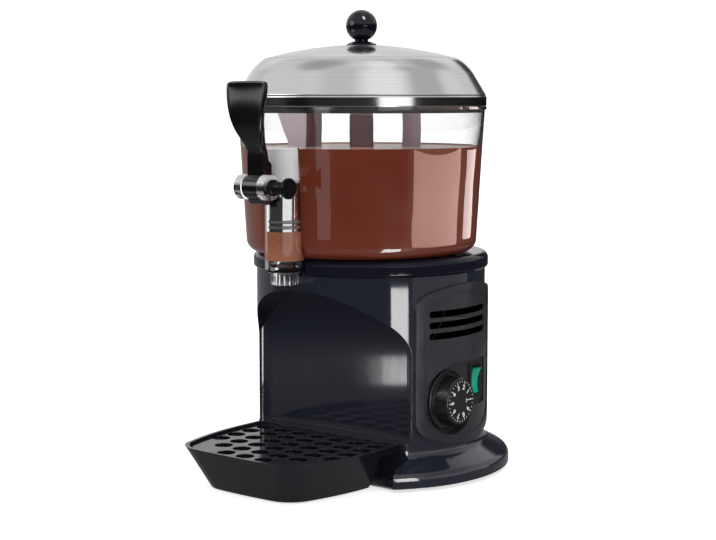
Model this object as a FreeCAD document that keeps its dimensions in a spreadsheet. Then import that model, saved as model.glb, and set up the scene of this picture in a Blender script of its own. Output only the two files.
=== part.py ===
import FreeCAD, Part
import math
import os

import Sketcher

# A counter-top hot chocolate dispenser, in millimetres. +Z is up and the user stands at -Y.
# The pieces are drawn about the axis that the bowl, the stirrer and the drive shaft share; the
# machine's body is round too, but its axis lies a little behind. Each finished piece is then
# moved by one shift, which puts the origin on the table under the middle of the whole machine.

Vector = FreeCAD.Vector
Rotation = FreeCAD.Rotation

os.makedirs("parts", exist_ok=True)
doc = FreeCAD.newDocument("ChocolateDispenser")
sheet = doc.addObject("Spreadsheet::Sheet", "Sizes")
doc_rows = []
subparts = []
spots_of = {}


# ---------------------------------------------------------------- sizes that know their formula

class Size:
    """A number together with the spreadsheet formula that gives it."""

    def __init__(self, number, formula):
        self.number = float(number)
        self.formula = formula

    def __float__(self):
        return self.number

    def __neg__(self):
        return Size(-self.number, f"(-{self.formula})")

    def __add__(self, other):
        other = as_size(other)
        return Size(self.number + other.number, f"({self.formula} + {other.formula})")

    def __sub__(self, other):
        other = as_size(other)
        return Size(self.number - other.number, f"({self.formula} - {other.formula})")

    def __mul__(self, other):
        other = as_size(other)
        return Size(self.number * other.number, f"({self.formula} * {other.formula})")

    def __truediv__(self, other):
        other = as_size(other)
        return Size(self.number / other.number, f"({self.formula} / {other.formula})")

    def __radd__(self, other):
        return as_size(other) + self

    def __rsub__(self, other):
        return as_size(other) - self

    def __rmul__(self, other):
        return as_size(other) * self


def as_size(value):
    return value if isinstance(value, Size) else Size(value, f"({float(value)!r})")


def root(value):
    return Size(math.sqrt(value.number), f"sqrt({value.formula})")


def sine(angle):
    return Size(math.sin(math.radians(angle.number)), f"sin({angle.formula})")


def cosine(angle):
    return Size(math.cos(math.radians(angle.number)), f"cos({angle.formula})")


def size(name, number, meaning):
    """Writes one driving dimension into the sheet and returns it."""
    doc_rows.append(name)
    row = len(doc_rows)
    sheet.set(f"A{row}", str(number))
    sheet.setAlias(f"A{row}", name)
    sheet.set(f"B{row}", meaning)
    return Size(number, f"Sizes.{name}")


# ---------------------------------------------------------------- driving dimensions

running_gap = size("running_gap", 0.3, "clearance between pieces that move past each other")
shaft_gap = size("shaft_gap", 0.06, "radial clearance of a shaft in its bearing")
seat_gap = size("seat_gap", 0.1, "clearance of pieces that plug into each other")

# Body: a round moulded shell with a flared foot, a cup niche in front and a control panel at +X
body_radius = size("body_radius", 113, "outer radius of the body shell")
body_setback = size("body_setback", 15, "distance of the body axis behind the bowl axis")
shell_wall = size("shell_wall", 3, "wall of the body shell")
shell_foot_z = size("shell_foot_z", 4, "height of the shell's lower rim")
shell_top_z = size("shell_top_z", 197, "height of the shell's upper rim")
flare_radius = size("flare_radius", 138, "outer radius of the flared foot")
flare_edge_z = size("flare_edge_z", 15, "height where the flare turns down")
flare_start_z = size("flare_start_z", 28, "height where the flare leaves the body")
niche_half = size("niche_half", 96, "half width of the cup niche")
niche_spring_z = size("niche_spring_z", 120, "height where the niche's arch springs")
niche_top_z = size("niche_top_z", 183, "height of the niche's arch")
niche_back = size("niche_back", 31, "distance of the niche's back wall in front of the bowl axis")
ledge_z = size("ledge_z", 39.5, "height of the ledge at the bottom of the niche")
ledge_front = size("ledge_front", 50, "distance of the ledge's face in front of the bowl axis")
foot_height = size("foot_height", 2.5, "height of the rubber feet under the base plate")
foot_radius = size("foot_radius", 8, "radius of a rubber foot")
base_plate_wall = size("base_plate_wall", 1.5, "thickness of the steel base plate")
base_apron = size("base_apron", 75, "reach of the base plate in front of the bowl axis")
base_screw_radius = size("base_screw_radius", 2, "radius of the base screws")
boss_radius = size("boss_radius", 6, "radius of the screw bosses inside the shell")

# Collar on top of the body
collar_radius = size("collar_radius", 116, "outer radius of the collar")
collar_top_z = size("collar_top_z", 213, "height of the collar's top")
collar_deck = size("collar_deck", 4, "thickness of the collar's deck")
ledge_radius = size("ledge_radius", 90.3, "radius of the recess that holds the bath's flange")
bath_radius = size("bath_radius", 85, "outer radius of the water bath")
bath_floor_z = size("bath_floor_z", 190, "height of the underside of the water bath")
bath_wall = size("bath_wall", 1.2, "sheet thickness of the water bath")

# Control panel, its thermostat dial and its power switch
panel_proud = size("panel_proud", 3.5, "how far the panel stands proud of the shell")
panel_centre_y = size("panel_centre_y", 18, "middle of the panel behind the bowl axis")
panel_half = size("panel_half", 62, "half width of the panel")
panel_foot_z = size("panel_foot_z", 34.5, "lowest point of the panel's bowed bottom")
panel_top_z = size("panel_top_z", 188, "highest point of the panel's arched top")
panel_inset = size("panel_inset", 7, "width of the panel's raised border")
panel_step = size("panel_step", 1.2, "depth of the step inside the raised border")
slot_length = size("slot_length", 86, "length of a louvre slot")
slot_height = size("slot_height", 6.4, "height of a louvre slot")
slot_pitch = size("slot_pitch", 10.4, "spacing of the louvre slots")
slot_middle_z = size("slot_middle_z", 150.8, "height of the middle louvre slot")
slot_middle_y = size("slot_middle_y", 12, "middle of the slots behind the bowl axis")
recess_floor_x = size("recess_floor_x", 104.5, "distance of the dial recess's floor from the axis")
recess_radius = size("recess_radius", 33, "radius of the dial recess")
recess_wall = size("recess_wall", 2.5, "wall of the dial recess")
dial_y = size("dial_y", -3.5, "dial axis, behind the bowl axis")
dial_z = size("dial_z", 77.5, "height of the dial axis")
dial_height = size("dial_height", 18.5, "how far the dial stands out of its recess floor")
dial_skirt_radius = size("dial_skirt_radius", 28.5, "radius of the dial's skirt")
dial_grip_radius = size("dial_grip_radius", 24, "radius of the dial's grip at its base")
dial_face_radius = size("dial_face_radius", 21.5, "radius of the dial's face")
dial_shaft_radius = size("dial_shaft_radius", 3, "radius of the thermostat's shaft")
switch_y = size("switch_y", 44.5, "middle of the power switch behind the bowl axis")
switch_z = size("switch_z", 90, "height of the middle of the power switch")
switch_width = size("switch_width", 19, "width of the switch frame")
switch_height = size("switch_height", 33, "height of the switch frame")
rocker_width = size("rocker_width", 12.6, "width of the rocker")
rocker_length = size("rocker_length", 25, "height of the rocker")
rocker_tilt = size("rocker_tilt", 8, "tilt of the rocker either way, in degrees")
switch_box_half = size("switch_box_half", 22.5, "half height of the recess's box at the switch")

# Bowl: a clear moulding with a hollow column up its middle
bowl_radius = size("bowl_radius", 120, "outer radius of the bowl under its lip")
bowl_base_radius = size("bowl_base_radius", 112, "outer radius of the bowl's wall run down to its floor")
bowl_wall = size("bowl_wall", 3, "wall of the bowl")
bowl_floor_z = size("bowl_floor_z", 214, "height of the bowl's underside")
bowl_floor_wall = size("bowl_floor_wall", 3.5, "thickness of the bowl's floor")
bowl_rim_z = size("bowl_rim_z", 354, "height of the bowl's rim")
lip_proud = size("lip_proud", 1.5, "how far the bowl's lip stands proud")
lip_height = size("lip_height", 3, "height of the bowl's lip")
column_radius = size("column_radius", 11, "outer radius of the bowl's column at its top")
column_bore = size("column_bore", 8, "bore of the bowl's column")
column_drop = size("column_drop", 7, "distance of the column's top below the rim")

# Tap: a clear upright tube half sunk in the bowl's wall, with a spring-loaded piston in it
tap_reach = size("tap_reach", 114.5, "distance of the tap's axis in front of the bowl axis")
tap_radius = size("tap_radius", 18.3, "outer radius of the tap tube")
tap_bore = size("tap_bore", 15.3, "bore of the tap tube")
tap_foot_z = size("tap_foot_z", 204, "height of the tap tube's lower end")
tap_top_z = size("tap_top_z", 317, "height of the tap tube's closed top")
tap_cap_wall = size("tap_cap_wall", 2.8, "thickness of the tap tube's top")
port_width = size("port_width", 20, "width of the port between bowl and tap")
port_top_z = size("port_top_z", 236, "height of the top of the port")
nozzle_radius = size("nozzle_radius", 13, "outer radius of the fluted nozzle")
nozzle_foot_z = size("nozzle_foot_z", 190, "height of the nozzle's mouth")
nozzle_bore = size("nozzle_bore", 9.5, "bore of the nozzle")
seat_bore = size("seat_bore", 7, "bore of the valve seat")
seat_z = size("seat_z", 212.7, "height of the valve seat")
pivot_reach = size("pivot_reach", 152, "distance of the lever's pivot in front of the bowl axis")
pivot_z = size("pivot_z", 282, "height of the lever's pivot")
ear_radius = size("ear_radius", 11.5, "radius of the two pivot ears")
ear_inner = size("ear_inner", 9.5, "distance of an ear's inner face from the middle")
ear_outer = size("ear_outer", 18, "distance of an ear's outer face from the middle")
pin_radius = size("pin_radius", 4, "radius of the pivot pin")
pin_reach = size("pin_reach", 40, "distance of the pin's head from the middle")
arm_length = size("arm_length", 37.5, "length of the lever's inner arm")
lever_swing = size("lever_swing", 30, "full swing of the lever, in degrees")
arm_half_width = size("arm_half_width", 3.5, "half width of the lever's inner arm")
arm_tip_radius = size("arm_tip_radius", 4.5, "radius of the inner arm's rounded tip")
piston_radius = size("piston_radius", 14.9, "radius of the piston's head")
piston_head_z = size("piston_head_z", 240, "height of the underside of the piston's head")
piston_top_z = size("piston_top_z", 291, "height of the piston's top")
stem_radius = size("stem_radius", 5, "radius of the piston's stem")
seal_radius = size("seal_radius", 9, "radius of the valve's rubber seal")
seal_height = size("seal_height", 4, "thickness of the valve's rubber seal")
ring_wire = size("ring_wire", 1.4, "section radius of the piston's sealing rings")
spring_radius = size("spring_radius", 5, "mean radius of the tap's spring")
spring_wire = size("spring_wire", 0.45, "section radius of the tap's spring")
spring_seat_depth = size("spring_seat_depth", 6, "depth of the spring's pocket in the piston")
paddle_half = size("paddle_half", 24, "half width of the lever's paddle")
lever_top_z = size("lever_top_z", 377, "height of the top of the lever")

# Stirrer and drive
shaft_radius = size("shaft_radius", 4, "radius of the drive shaft")
hex_half = size("hex_half", 3.5, "half of the drive hexagon's width across flats")
hub_radius = size("hub_radius", 13, "radius of the stirrer's hub")
hub_height = size("hub_height", 21, "height of the stirrer's hub")
stirrer_angle = size("stirrer_angle", 38.5, "where the stirrer stands at rest, in degrees from +X")
stirrer_foot_z = size("stirrer_foot_z", 222, "height of the lower end of the blades")
blade_wall = size("blade_wall", 3, "thickness of the stirrer's blades")
wide_blade_outer = size("wide_blade_outer", 83, "outer edge of the wide blade, from the axis")
wide_blade_inner = size("wide_blade_inner", 50,"inner edge of the wide blade, from the axis")
slim_blade_outer = size("slim_blade_outer", 58, "outer edge of the slim blade, from the axis")
slim_blade_inner = size("slim_blade_inner", 40, "inner edge of the slim blade, from the axis")
bracket_z = size("bracket_z", 177, "height of the underside of the motor bracket")
bracket_wall = size("bracket_wall", 3, "thickness of the motor bracket")
post_x = size("post_x", 98, "distance of the bracket posts from the middle")
post_near_y = size("post_near_y", 0, "front bracket posts, behind the bowl axis")
post_far_y = size("post_far_y", 28, "rear bracket posts, behind the bowl axis")
post_radius = size("post_radius", 4, "radius of a bracket post")
gearbox_height = size("gearbox_height", 34, "height of the gearbox")
motor_radius = size("motor_radius", 29, "radius of the motor")
motor_height = size("motor_height", 60, "height of the motor")
motor_back = size("motor_back", 22, "distance of the motor's axis behind the bowl axis")

# Heater
element_radius = size("element_radius", 60, "radius of the heating ring")
element_wire = size("element_wire", 3.25, "section radius of the heating ring")
element_z = size("element_z", 196.5, "height of the middle of the heating ring")
element_leg_x = size("element_leg_x", 12, "half the spacing of the heating ring's legs")

# Lid
lid_radius = size("lid_radius", 121.5, "outer radius of the lid's band")
lid_band = size("lid_band", 9, "height of the lid's band")
lid_gap = size("lid_gap", 0.2, "gap between the lid and the bowl's rim")
lid_wall = size("lid_wall", 1.5, "sheet thickness of the lid")
lid_shoulder_rise = size("lid_shoulder_rise", 37, "height above the bowl's rim where the lid's skirt ends")
lid_shoulder_radius = size("lid_shoulder_radius", 105, "radius where the lid's skirt ends")
lid_rise = size("lid_rise", 56, "height of the middle of the lid above the bowl's rim")
knob_radius = size("knob_radius", 15.1, "radius of the lid's ball knob")
knob_rise = size("knob_rise", 21.8, "height of the ball knob's centre above the lid")
flange_radius = size("flange_radius", 14.5, "radius of the disc under the ball knob")
flange_height = size("flange_height", 6.5, "height of the disc under the ball knob")

# Drip tray
tray_rim_z = size("tray_rim_z", 40, "height of the drip tray's rim")
tray_foot_z = size("tray_foot_z", 1, "height of the drip tray's underside")
tray_front = size("tray_front", 188.5, "reach of the drip tray in front of the bowl axis")
tray_half = size("tray_half", 88, "half width of the drip tray at its rear")
tray_rear = size("tray_rear", 51.5, "distance of the drip tray's rear in front of the bowl axis")
tray_taper = size("tray_taper", 17, "how far the tray's walls lean in from rim to foot")
tray_wall = size("tray_wall", 2.6, "wall of the drip tray")
tray_step_y = size("tray_step_y", 78, "where the deep part of the tray ends")
tray_step_z = size("tray_step_z", 31, "height of the underside of the tray's shallow part")
grille_z = size("grille_z", 35.6, "height of the underside of the drip grille")
grille_wall = size("grille_wall", 2, "thickness of the drip grille")
grille_hole_radius = size("grille_hole_radius", 8.7, "radius of the grille's holes")
grille_pitch_x = size("grille_pitch_x", 23.2, "spacing of the grille's holes across")
grille_pitch_y = size("grille_pitch_y", 21, "spacing of the grille's holes front to back")

# Mains inlet
gland_bore = size("gland_bore", 3.75, "bore of the cable gland")
gland_z = size("gland_z", 46, "height of the cable gland")

# From the bowl's axis back to the middle of the machine's length, which runs from tray to flare
frame_shift = (tray_front - body_setback - flare_radius) / 2


# ---------------------------------------------------------------- building helpers

def bind(thing, prop, value):
    thing.setExpression(prop, as_size(value).formula)


def place(thing, x=0, y=0, z=0, axis=None, angle=0):
    """Puts a piece at a point, turned about an axis through it."""
    turn = Rotation(axis, float(angle)) if axis else Rotation()
    thing.Placement = FreeCAD.Placement(Vector(float(x), float(y), float(z)), turn)
    for letter, value in zip("xyz", (x, y, z)):
        bind(thing, f"Placement.Base.{letter}", value)
    spots_of[thing.Name] = y
    if isinstance(angle, Size):
        bind(thing, "Placement.Rotation.Angle", angle)
    return thing


def keep(thing, label):
    """Names a finished piece, moves it into the machine's frame and lists it for writing."""
    thing.Label = label
    bind(thing, "Placement.Base.y", as_size(spots_of.get(thing.Name, 0)) + frame_shift)
    subparts.append(thing)
    return thing


def arc_geometry(start, middle, end):
    """The arc from start to end through middle, and whether it runs anticlockwise."""
    ax, ay = middle.x - start.x, middle.y - start.y
    bx, by = end.x - start.x, end.y - start.y
    cross = 2 * (ax * by - ay * bx)
    a2, b2 = ax * ax + ay * ay, bx * bx + by * by
    centre = Vector(start.x + (by * a2 - ay * b2) / cross, start.y + (ax * b2 - bx * a2) / cross, 0)
    return arc_about(centre, start, end, cross > 0), cross > 0


def arc_about(centre, start, end, anticlockwise):
    first, last = (start, end) if anticlockwise else (end, start)
    angles = [math.atan2(p.y - centre.y, p.x - centre.x) for p in (first, last)]
    if angles[1] < angles[0]:
        angles[1] += 2 * math.pi
    circle = Part.Circle(centre, Vector(0, 0, 1), (start - centre).Length)
    return Part.ArcOfCircle(circle, angles[0], angles[1])


def draw_outline(sketch, steps):
    """Draws a closed outline. A step is a corner (u, v), a rounded corner (u, v, radius), or
    ("arc", u, v), which makes the edge to the next corner an arc through that point."""
    corners = [step for step in steps if step[0] != "arc"]
    through = {}
    index = -1
    for step in steps:
        if step[0] == "arc":
            through[index] = step[1:]
        else:
            index += 1
    count = len(corners)
    spots = [Vector(float(c[0]), float(c[1]), 0) for c in corners]
    starts, ends = list(spots), list(spots)
    fillets = {}
    for i, corner in enumerate(corners):
        if len(corner) < 3:
            continue
        into = (spots[i] - spots[i - 1]).normalize()
        out = (spots[(i + 1) % count] - spots[i]).normalize()
        turn = into.getAngle(out)
        trim = float(corner[2]) * math.tan(turn / 2)
        ends[i], starts[i] = spots[i] - into * trim, spots[i] + out * trim
        left = into.x * out.y - into.y * out.x > 0
        side = Vector(-into.y, into.x, 0) * (1 if left else -1)
        centre = ends[i] + side * float(corner[2])
        fillets[i] = (arc_about(centre, ends[i], starts[i], left), left)

    edges, forward = [], []
    for i in range(count):
        j = (i + 1) % count
        if i in through:
            u, v = through[i]
            arc, anticlockwise = arc_geometry(starts[i], Vector(float(u), float(v), 0), ends[j])
            edges.append(arc)
            forward.append(anticlockwise)
        else:
            edges.append(Part.LineSegment(starts[i], ends[j]))
            forward.append(True)
    points = spots + [Vector(float(u), float(v), 0) for u, v in through.values()]
    point_ids = sketch.addGeometry([Part.Point(p) for p in points], True)
    edge_ids = sketch.addGeometry(edges, False)
    fillet_ids = dict(zip(fillets, sketch.addGeometry([f[0] for f in fillets.values()], False)))

    rules, formulas = [], []

    def rule(*words, formula=None):
        rules.append(Sketcher.Constraint(*words))
        formulas.append(formula)

    def fix(point, u, v):
        for kind, value, axis in (("DistanceX", as_size(u), -2), ("DistanceY", as_size(v), -1)):
            if value.number == 0 and "Sizes" not in value.formula:
                rule("PointOnObject", point, 1, axis)
            else:
                rule(kind, -1, 1, point, 1, value.number, formula=value.formula)

    for point, corner in zip(point_ids, corners):
        fix(point, corner[0], corner[1])
    for point, (i, spot) in zip(point_ids[count:], through.items()):
        fix(point, *spot)
        rule("PointOnObject", point, 1, edge_ids[i])
    for i in range(count):
        before, after = edge_ids[i - 1], edge_ids[i]
        before_end = 2 if forward[i - 1] else 1
        after_start = 1 if forward[i] else 2
        if i in fillets:
            left = fillets[i][1]
            rule("PointOnObject", point_ids[i], 1, before)
            rule("PointOnObject", point_ids[i], 1, after)
            rule("Tangent", before, before_end, fillet_ids[i], 1 if left else 2)
            rule("Tangent", fillet_ids[i], 2 if left else 1, after, after_start)
            radius = as_size(corners[i][2])
            rule("Radius", fillet_ids[i], radius.number, formula=radius.formula)
        else:
            rule("Coincident", before, before_end, point_ids[i], 1)
            rule("Coincident", after, after_start, point_ids[i], 1)
    first = sketch.ConstraintCount
    sketch.addConstraint(rules)
    for i, formula in enumerate(formulas):
        if formula and "Sizes" in formula:
            sketch.setExpression(f"Constraints[{first + i}]", formula)


def draw_circle(sketch, u, v, radius):
    circle = Part.Circle(Vector(float(u), float(v), 0), Vector(0, 0, 1), float(radius))
    which = sketch.addGeometry(circle, False)
    for kind, value, axis in (("DistanceX", as_size(u), -2), ("DistanceY", as_size(v), -1)):
        if value.number == 0 and "Sizes" not in value.formula:
            sketch.addConstraint(Sketcher.Constraint("PointOnObject", which, 3, axis))
        else:
            number = sketch.addConstraint(Sketcher.Constraint(kind, -1, 1, which, 3, value.number))
            bind(sketch, f"Constraints[{number}]", value)
    number = sketch.addConstraint(Sketcher.Constraint("Radius", which, float(radius)))
    bind(sketch, f"Constraints[{number}]", radius)


def sketch_on(body, plane):
    """A sketch on one of a body's own origin planes: XY, XZ or YZ."""
    sketch = body.newObject("Sketcher::SketchObject", f"{body.Name}_outline")
    support = [f for f in body.Origin.OriginFeatures if f.Role == f"{plane}_Plane"][0]
    sketch.AttachmentSupport = [(support, "")]
    sketch.MapMode = "FlatFace"
    return sketch


def turned(name, section):
    """A body turned about its own Z axis from its half section, corners of (radius, height)."""
    body = doc.addObject("PartDesign::Body", name)
    sketch = sketch_on(body, "XZ")
    draw_outline(sketch, section)
    revolution = body.newObject("PartDesign::Revolution", f"{name}_turning")
    revolution.Profile = sketch
    revolution.ReferenceAxis = (sketch, ["V_Axis"])
    revolution.Angle = 360
    return body


def slab(name, plane, outline, length, holes=(), both_ways=False):
    """A flat piece: an outline on a plane, given a thickness towards +X, +Y or +Z."""
    body = doc.addObject("PartDesign::Body", name)
    sketch = sketch_on(body, plane)
    if outline:
        draw_outline(sketch, outline)
    for u, v, radius in holes:
        draw_circle(sketch, u, v, radius)
    pad = body.newObject("PartDesign::Pad", f"{name}_pad")
    pad.Profile = sketch
    pad.Reversed = plane == "XZ"
    pad.Midplane = both_ways
    bind(pad, "Length", length)
    return body


def box(name, x, y, z):
    """A block between two limits along each axis."""
    block = doc.addObject("Part::Box", name)
    for prop, (low, high) in zip(("Length", "Width", "Height"), (x, y, z)):
        bind(block, prop, high - low if isinstance(high, Size) else as_size(high) - low)
    return place(block, x[0], y[0], z[0])


def rod(name, radius, length, x=0, y=0, z=0, along="Z"):
    """A plain cylinder from a point, along +X, +Y or +Z."""
    cylinder = doc.addObject("Part::Cylinder", name)
    bind(cylinder, "Radius", radius)
    bind(cylinder, "Height", length)
    turns = {"Z": (None, 0), "X": (Vector(0, 1, 0), 90), "Y": (Vector(1, 0, 0), -90)}
    return place(cylinder, x, y, z, *turns[along])


def cut(name, base, *tools):
    result = doc.addObject("Part::Cut", name)
    result.Base = base
    result.Tool = tools[0] if len(tools) == 1 else join(f"{name}_tools", *tools)
    return result


def join(name, *pieces):
    result = doc.addObject("Part::MultiFuse", name)
    result.Shapes = list(pieces)
    return result


def overlap(name, *pieces):
    result = doc.addObject("Part::MultiCommon", name)
    result.Shapes = list(pieces)
    return result


def group(label, pieces):
    """Like pieces kept as separate solids of one sub-part."""
    compound = doc.addObject("Part::Compound", f"{label}_set")
    compound.Links = list(pieces)
    return keep(compound, label)


def mirrored(points):
    """An outline given down its +U side, continued up the other side as its mirror image."""
    other = [(-p[0], *p[1:]) if p[0] != "arc" else ("arc", -p[1], p[2]) for p in reversed(points)]
    return list(points) + other


# ---------------------------------------------------------------- body shell

base_top_z = foot_height + base_plate_wall

def shell_section(outer_only):
    """Half section of the shell: straight wall, concave turn into the flare, rounded edge."""
    slope = shell_wall * 0.55
    outside = [
        (body_radius, shell_top_z),
        (body_radius, flare_start_z, 9),
        (flare_radius, flare_edge_z, 8),
        (flare_radius, shell_foot_z),
    ]
    if outer_only:
        return [(0, shell_top_z)] + outside + [(0, shell_foot_z)]
    inside = [
        (flare_radius - shell_wall, shell_foot_z),
        (flare_radius - shell_wall, flare_edge_z - slope),
        (body_radius - shell_wall, flare_start_z - slope),
        (body_radius - shell_wall, shell_top_z),
    ]
    return outside + inside


def niche_block(name, grow):
    """The space of the cup niche, or with its wall around it: an arch seen from the front,
    closed behind by a shallow curved wall with rounded corners."""
    half = niche_half + grow
    rise = niche_top_z + grow - niche_spring_z
    side_radius = 45 + grow
    top_radius = (half * half + rise * rise - 2 * half * side_radius) / (2 * (rise - side_radius))
    centre_x = half - side_radius
    centre_z = rise - top_radius
    reach = top_radius - side_radius
    joint_x = centre_x + side_radius * centre_x / reach
    joint_z = niche_spring_z - side_radius * centre_z / reach
    bend = math.radians(25)
    bend_x = centre_x + side_radius * math.cos(bend)
    bend_z = niche_spring_z + side_radius * math.sin(bend)
    floor_z = ledge_z - grow
    arch = [
        (-half, floor_z), (half, floor_z),
        (half, niche_spring_z), ("arc", bend_x, bend_z),
        (joint_x, joint_z), ("arc", 0, niche_top_z + grow),
        (-joint_x, joint_z), ("arc", -bend_x, bend_z),
        (-half, niche_spring_z),
    ]
    front = place(slab(f"{name}_arch", "XZ", arch, 200), 0, -200, 0)
    back = grow - niche_back
    turn_x = half - 12
    plan = [
        (-half, -200), (half, -200),
        (half, back - 18), ("arc", half - 3, back - 9),
        (turn_x, back - 5), ("arc", 0, back),
        (-turn_x, back - 5), ("arc", 3 - half, back - 9),
        (-half, back - 18),
    ]
    above = slab(f"{name}_plan", "XY", plan, 300)
    return overlap(name, front, above)


def on_body_axis(thing):
    return place(thing, 0, body_setback, 0)


shell_outside = on_body_axis(turned("shell_outside", shell_section(True)))
shell_ring = on_body_axis(turned("shell_ring", shell_section(False)))
niche_lining = niche_block("niche_lining", shell_wall)
niche_space = niche_block("niche_space", as_size(0))
bay_lining = box("bay_lining", (-(niche_half + shell_wall), niche_half + shell_wall),
                 (-200, shell_wall - ledge_front), (shell_foot_z, ledge_z))
bay_space = place(slab("bay_space", "XY", mirrored([
    (niche_half, -ledge_front), (niche_half, -ledge_front - 21, 10),
    (niche_half + 12, -ledge_front - 45), (niche_half + 12, -200)]), ledge_z + 2), 0, 0, -1)

boss_spots = []
for degrees in (-12, 48, 132, 192):
    reach = body_radius - shell_wall - 4
    boss_spots.append((reach * math.cos(math.radians(degrees)),
                       body_setback + reach * math.sin(math.radians(degrees))))
boss_length = as_size(36)
bosses = [rod(f"shell_boss_{i}", boss_radius, boss_length, x, y, shell_foot_z)
          for i, (x, y) in enumerate(boss_spots)]
boss_holes = [rod(f"shell_boss_hole_{i}", base_screw_radius, 14, x, y, shell_foot_z - 1)
              for i, (x, y) in enumerate(boss_spots)]


# ---------------------------------------------------------------- control panel

panel_radius = body_radius + panel_proud
dial_recess_y = dial_y
box_far_y = switch_y + switch_width / 2 + 4


def panel_outline(inset):
    """The panel seen from the side at +X: straight sides, an arched top and a bowed bottom."""
    half = panel_half - inset
    top, foot = panel_top_z - inset, panel_foot_z + inset
    near, far = panel_centre_y - half, panel_centre_y + half
    return [
        (near, foot + 28), ("arc", near + 4, foot + 15),
        (near + 13, foot + 9), ("arc", panel_centre_y, foot),
        (far - 13, foot + 9), ("arc", far - 4, foot + 15),
        (far, foot + 28),
        (far, top - 24), ("arc", far - 3.5, top - 13),
        (far - 12, top - 7), ("arc", panel_centre_y, top),
        (near + 12, top - 7), ("arc", near + 3.5, top - 13),
        (near, top - 24),
    ]


def recess(name, grow, start_x, length):
    """The space of the dial's round recess and of the box that joins it to the switch."""
    disc = rod(f"{name}_disc", recess_radius + grow, length, start_x, dial_recess_y, dial_z, "X")
    beside = box(f"{name}_box", (start_x, start_x + length),
                 (dial_recess_y, box_far_y + grow),
                 (switch_z - switch_box_half - grow, switch_z + switch_box_half + grow))
    return join(name, disc, beside)


panel_depth = as_size(60)
panel_start_x = as_size(70)
panel_blank = place(slab("panel_blank", "YZ", panel_outline(as_size(0)), panel_depth),
                    panel_start_x, 0, 0)
panel_tube = cut("panel_tube",
                 rod("panel_tube_out", panel_radius, 200, 0, body_setback, 10),
                 rod("panel_tube_in", body_radius, 202, 0, body_setback, 9))
panel_skin = overlap("panel_skin", panel_blank, panel_tube)
pan_solid = overlap(
    "pan_solid",
    recess("pan_outside", recess_wall, recess_floor_x - recess_wall, as_size(20)),
    rod("pan_limit", panel_radius, 200, 0, body_setback, 10))
face_cut = cut("face_cut",
               place(slab("face_inset", "YZ", panel_outline(panel_inset), panel_depth),
                     panel_start_x, 0, 0),
               rod("face_limit", panel_radius - panel_step, 200, 0, body_setback, 10))
slots = []
for step in (-1, 0, 1):
    middle = slot_middle_z + slot_pitch * step
    near, far = slot_middle_y - slot_length / 2, slot_middle_y + slot_length / 2
    slot = [(near, middle - slot_height / 2, 2.4), (far, middle - slot_height / 2, 2.4),
            (far, middle + slot_height / 2, 2.4), (near, middle + slot_height / 2, 2.4)]
    slots.append(place(slab(f"slot_{step + 1}", "YZ", slot, panel_depth), panel_start_x, 0, 0))
switch_hole_half_y = switch_width / 2 - 2.5
switch_hole_half_z = switch_height / 2 - 2
switch_hole = box("switch_hole", (95, 115), (switch_y - switch_hole_half_y, switch_y + switch_hole_half_y),
                  (switch_z - switch_hole_half_z, switch_z + switch_hole_half_z))
dial_hole = rod("dial_hole", dial_shaft_radius + 1.5, 20, 95, dial_recess_y, dial_z, "X")
keep(cut("panel_piece", join("panel_solid", panel_skin, pan_solid),
         recess("pan_space", as_size(0), recess_floor_x, as_size(20)),
         face_cut, switch_hole, dial_hole, *slots), "control_panel")

window_inset = panel_inset + 3
shell_window = place(slab("shell_window", "YZ", panel_outline(window_inset), panel_depth),
                     93, 0, 0)
recess_clearance = recess("recess_clearance", recess_wall + 0.2,
                          recess_floor_x - recess_wall - 0.2, as_size(20))
gland_hole = rod("gland_hole", 8, 30, 0, 105, gland_z, "Y")
shell_walls = cut(
    "shell_walls",
    join("shell_solid", shell_ring,
         overlap("lining", join("linings", niche_lining, bay_lining), shell_outside), *bosses),
    niche_space, bay_space, shell_window, recess_clearance, gland_hole, *boss_holes)
keep(shell_walls, "body_shell")


# ---------------------------------------------------------------- base plate, feet, screws

base_reach = flare_radius - 4
base_disc = rod("base_disc", base_reach, base_plate_wall, 0, body_setback, foot_height)
base_front = box("base_front", (-niche_half, niche_half), (-200, -base_apron), (0, 10))
foot_spots = [(-106, -38), (106, -38), (-78, 110), (78, 110)]
stem_hole_radius = as_size(3.1)
base_tools = [base_front]
base_tools += [rod(f"foot_hole_{i}", stem_hole_radius, 10, x, y, 0)
               for i, (x, y) in enumerate(foot_spots)]
base_tools += [rod(f"base_screw_hole_{i}", base_screw_radius + 0.2, 10, x, y, 0)
               for i, (x, y) in enumerate(boss_spots)]
keep(cut("base_piece", base_disc, *base_tools), "base_plate")

feet = []
for i, (x, y) in enumerate(foot_spots):
    foot = turned(f"foot_{i}", [
        (0, 0), (foot_radius - 1, 0), (foot_radius, 1), (foot_radius, foot_height),
        (stem_hole_radius - seat_gap, foot_height), (stem_hole_radius - seat_gap, base_top_z + 0.1),
        (stem_hole_radius + 0.9, base_top_z + 0.4), (stem_hole_radius - 0.6, base_top_z + 3),
        (0, base_top_z + 3)])
    feet.append(place(foot, x, y, 0))
group("feet", feet)

base_screws = []
for i, (x, y) in enumerate(boss_spots):
    screw = turned(f"base_screw_{i}", [
        (0, foot_height - 1.6), (2.6, foot_height - 1.6), (3.8, foot_height - 0.6),
        (3.8, foot_height), (base_screw_radius, foot_height), (base_screw_radius, base_top_z + 8),
        (0, base_top_z + 9)])
    base_screws.append(place(screw, x, y, 0))
group("base_screws", base_screws)

support_top_z = tray_step_z - 0.2
support_solid = box("support_solid", (-60, 60), (1 - base_apron, -ledge_front - seat_gap),
                    (base_top_z, support_top_z))
support_hollow = box("support_hollow", (-57.5, 57.5), (3.5 - base_apron, -ledge_front - 2.5),
                     (base_top_z - 1, support_top_z - 2.5))
keep(cut("support_piece", support_solid, support_hollow), "tray_support")


# ---------------------------------------------------------------- collar, bath and gasket

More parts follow.
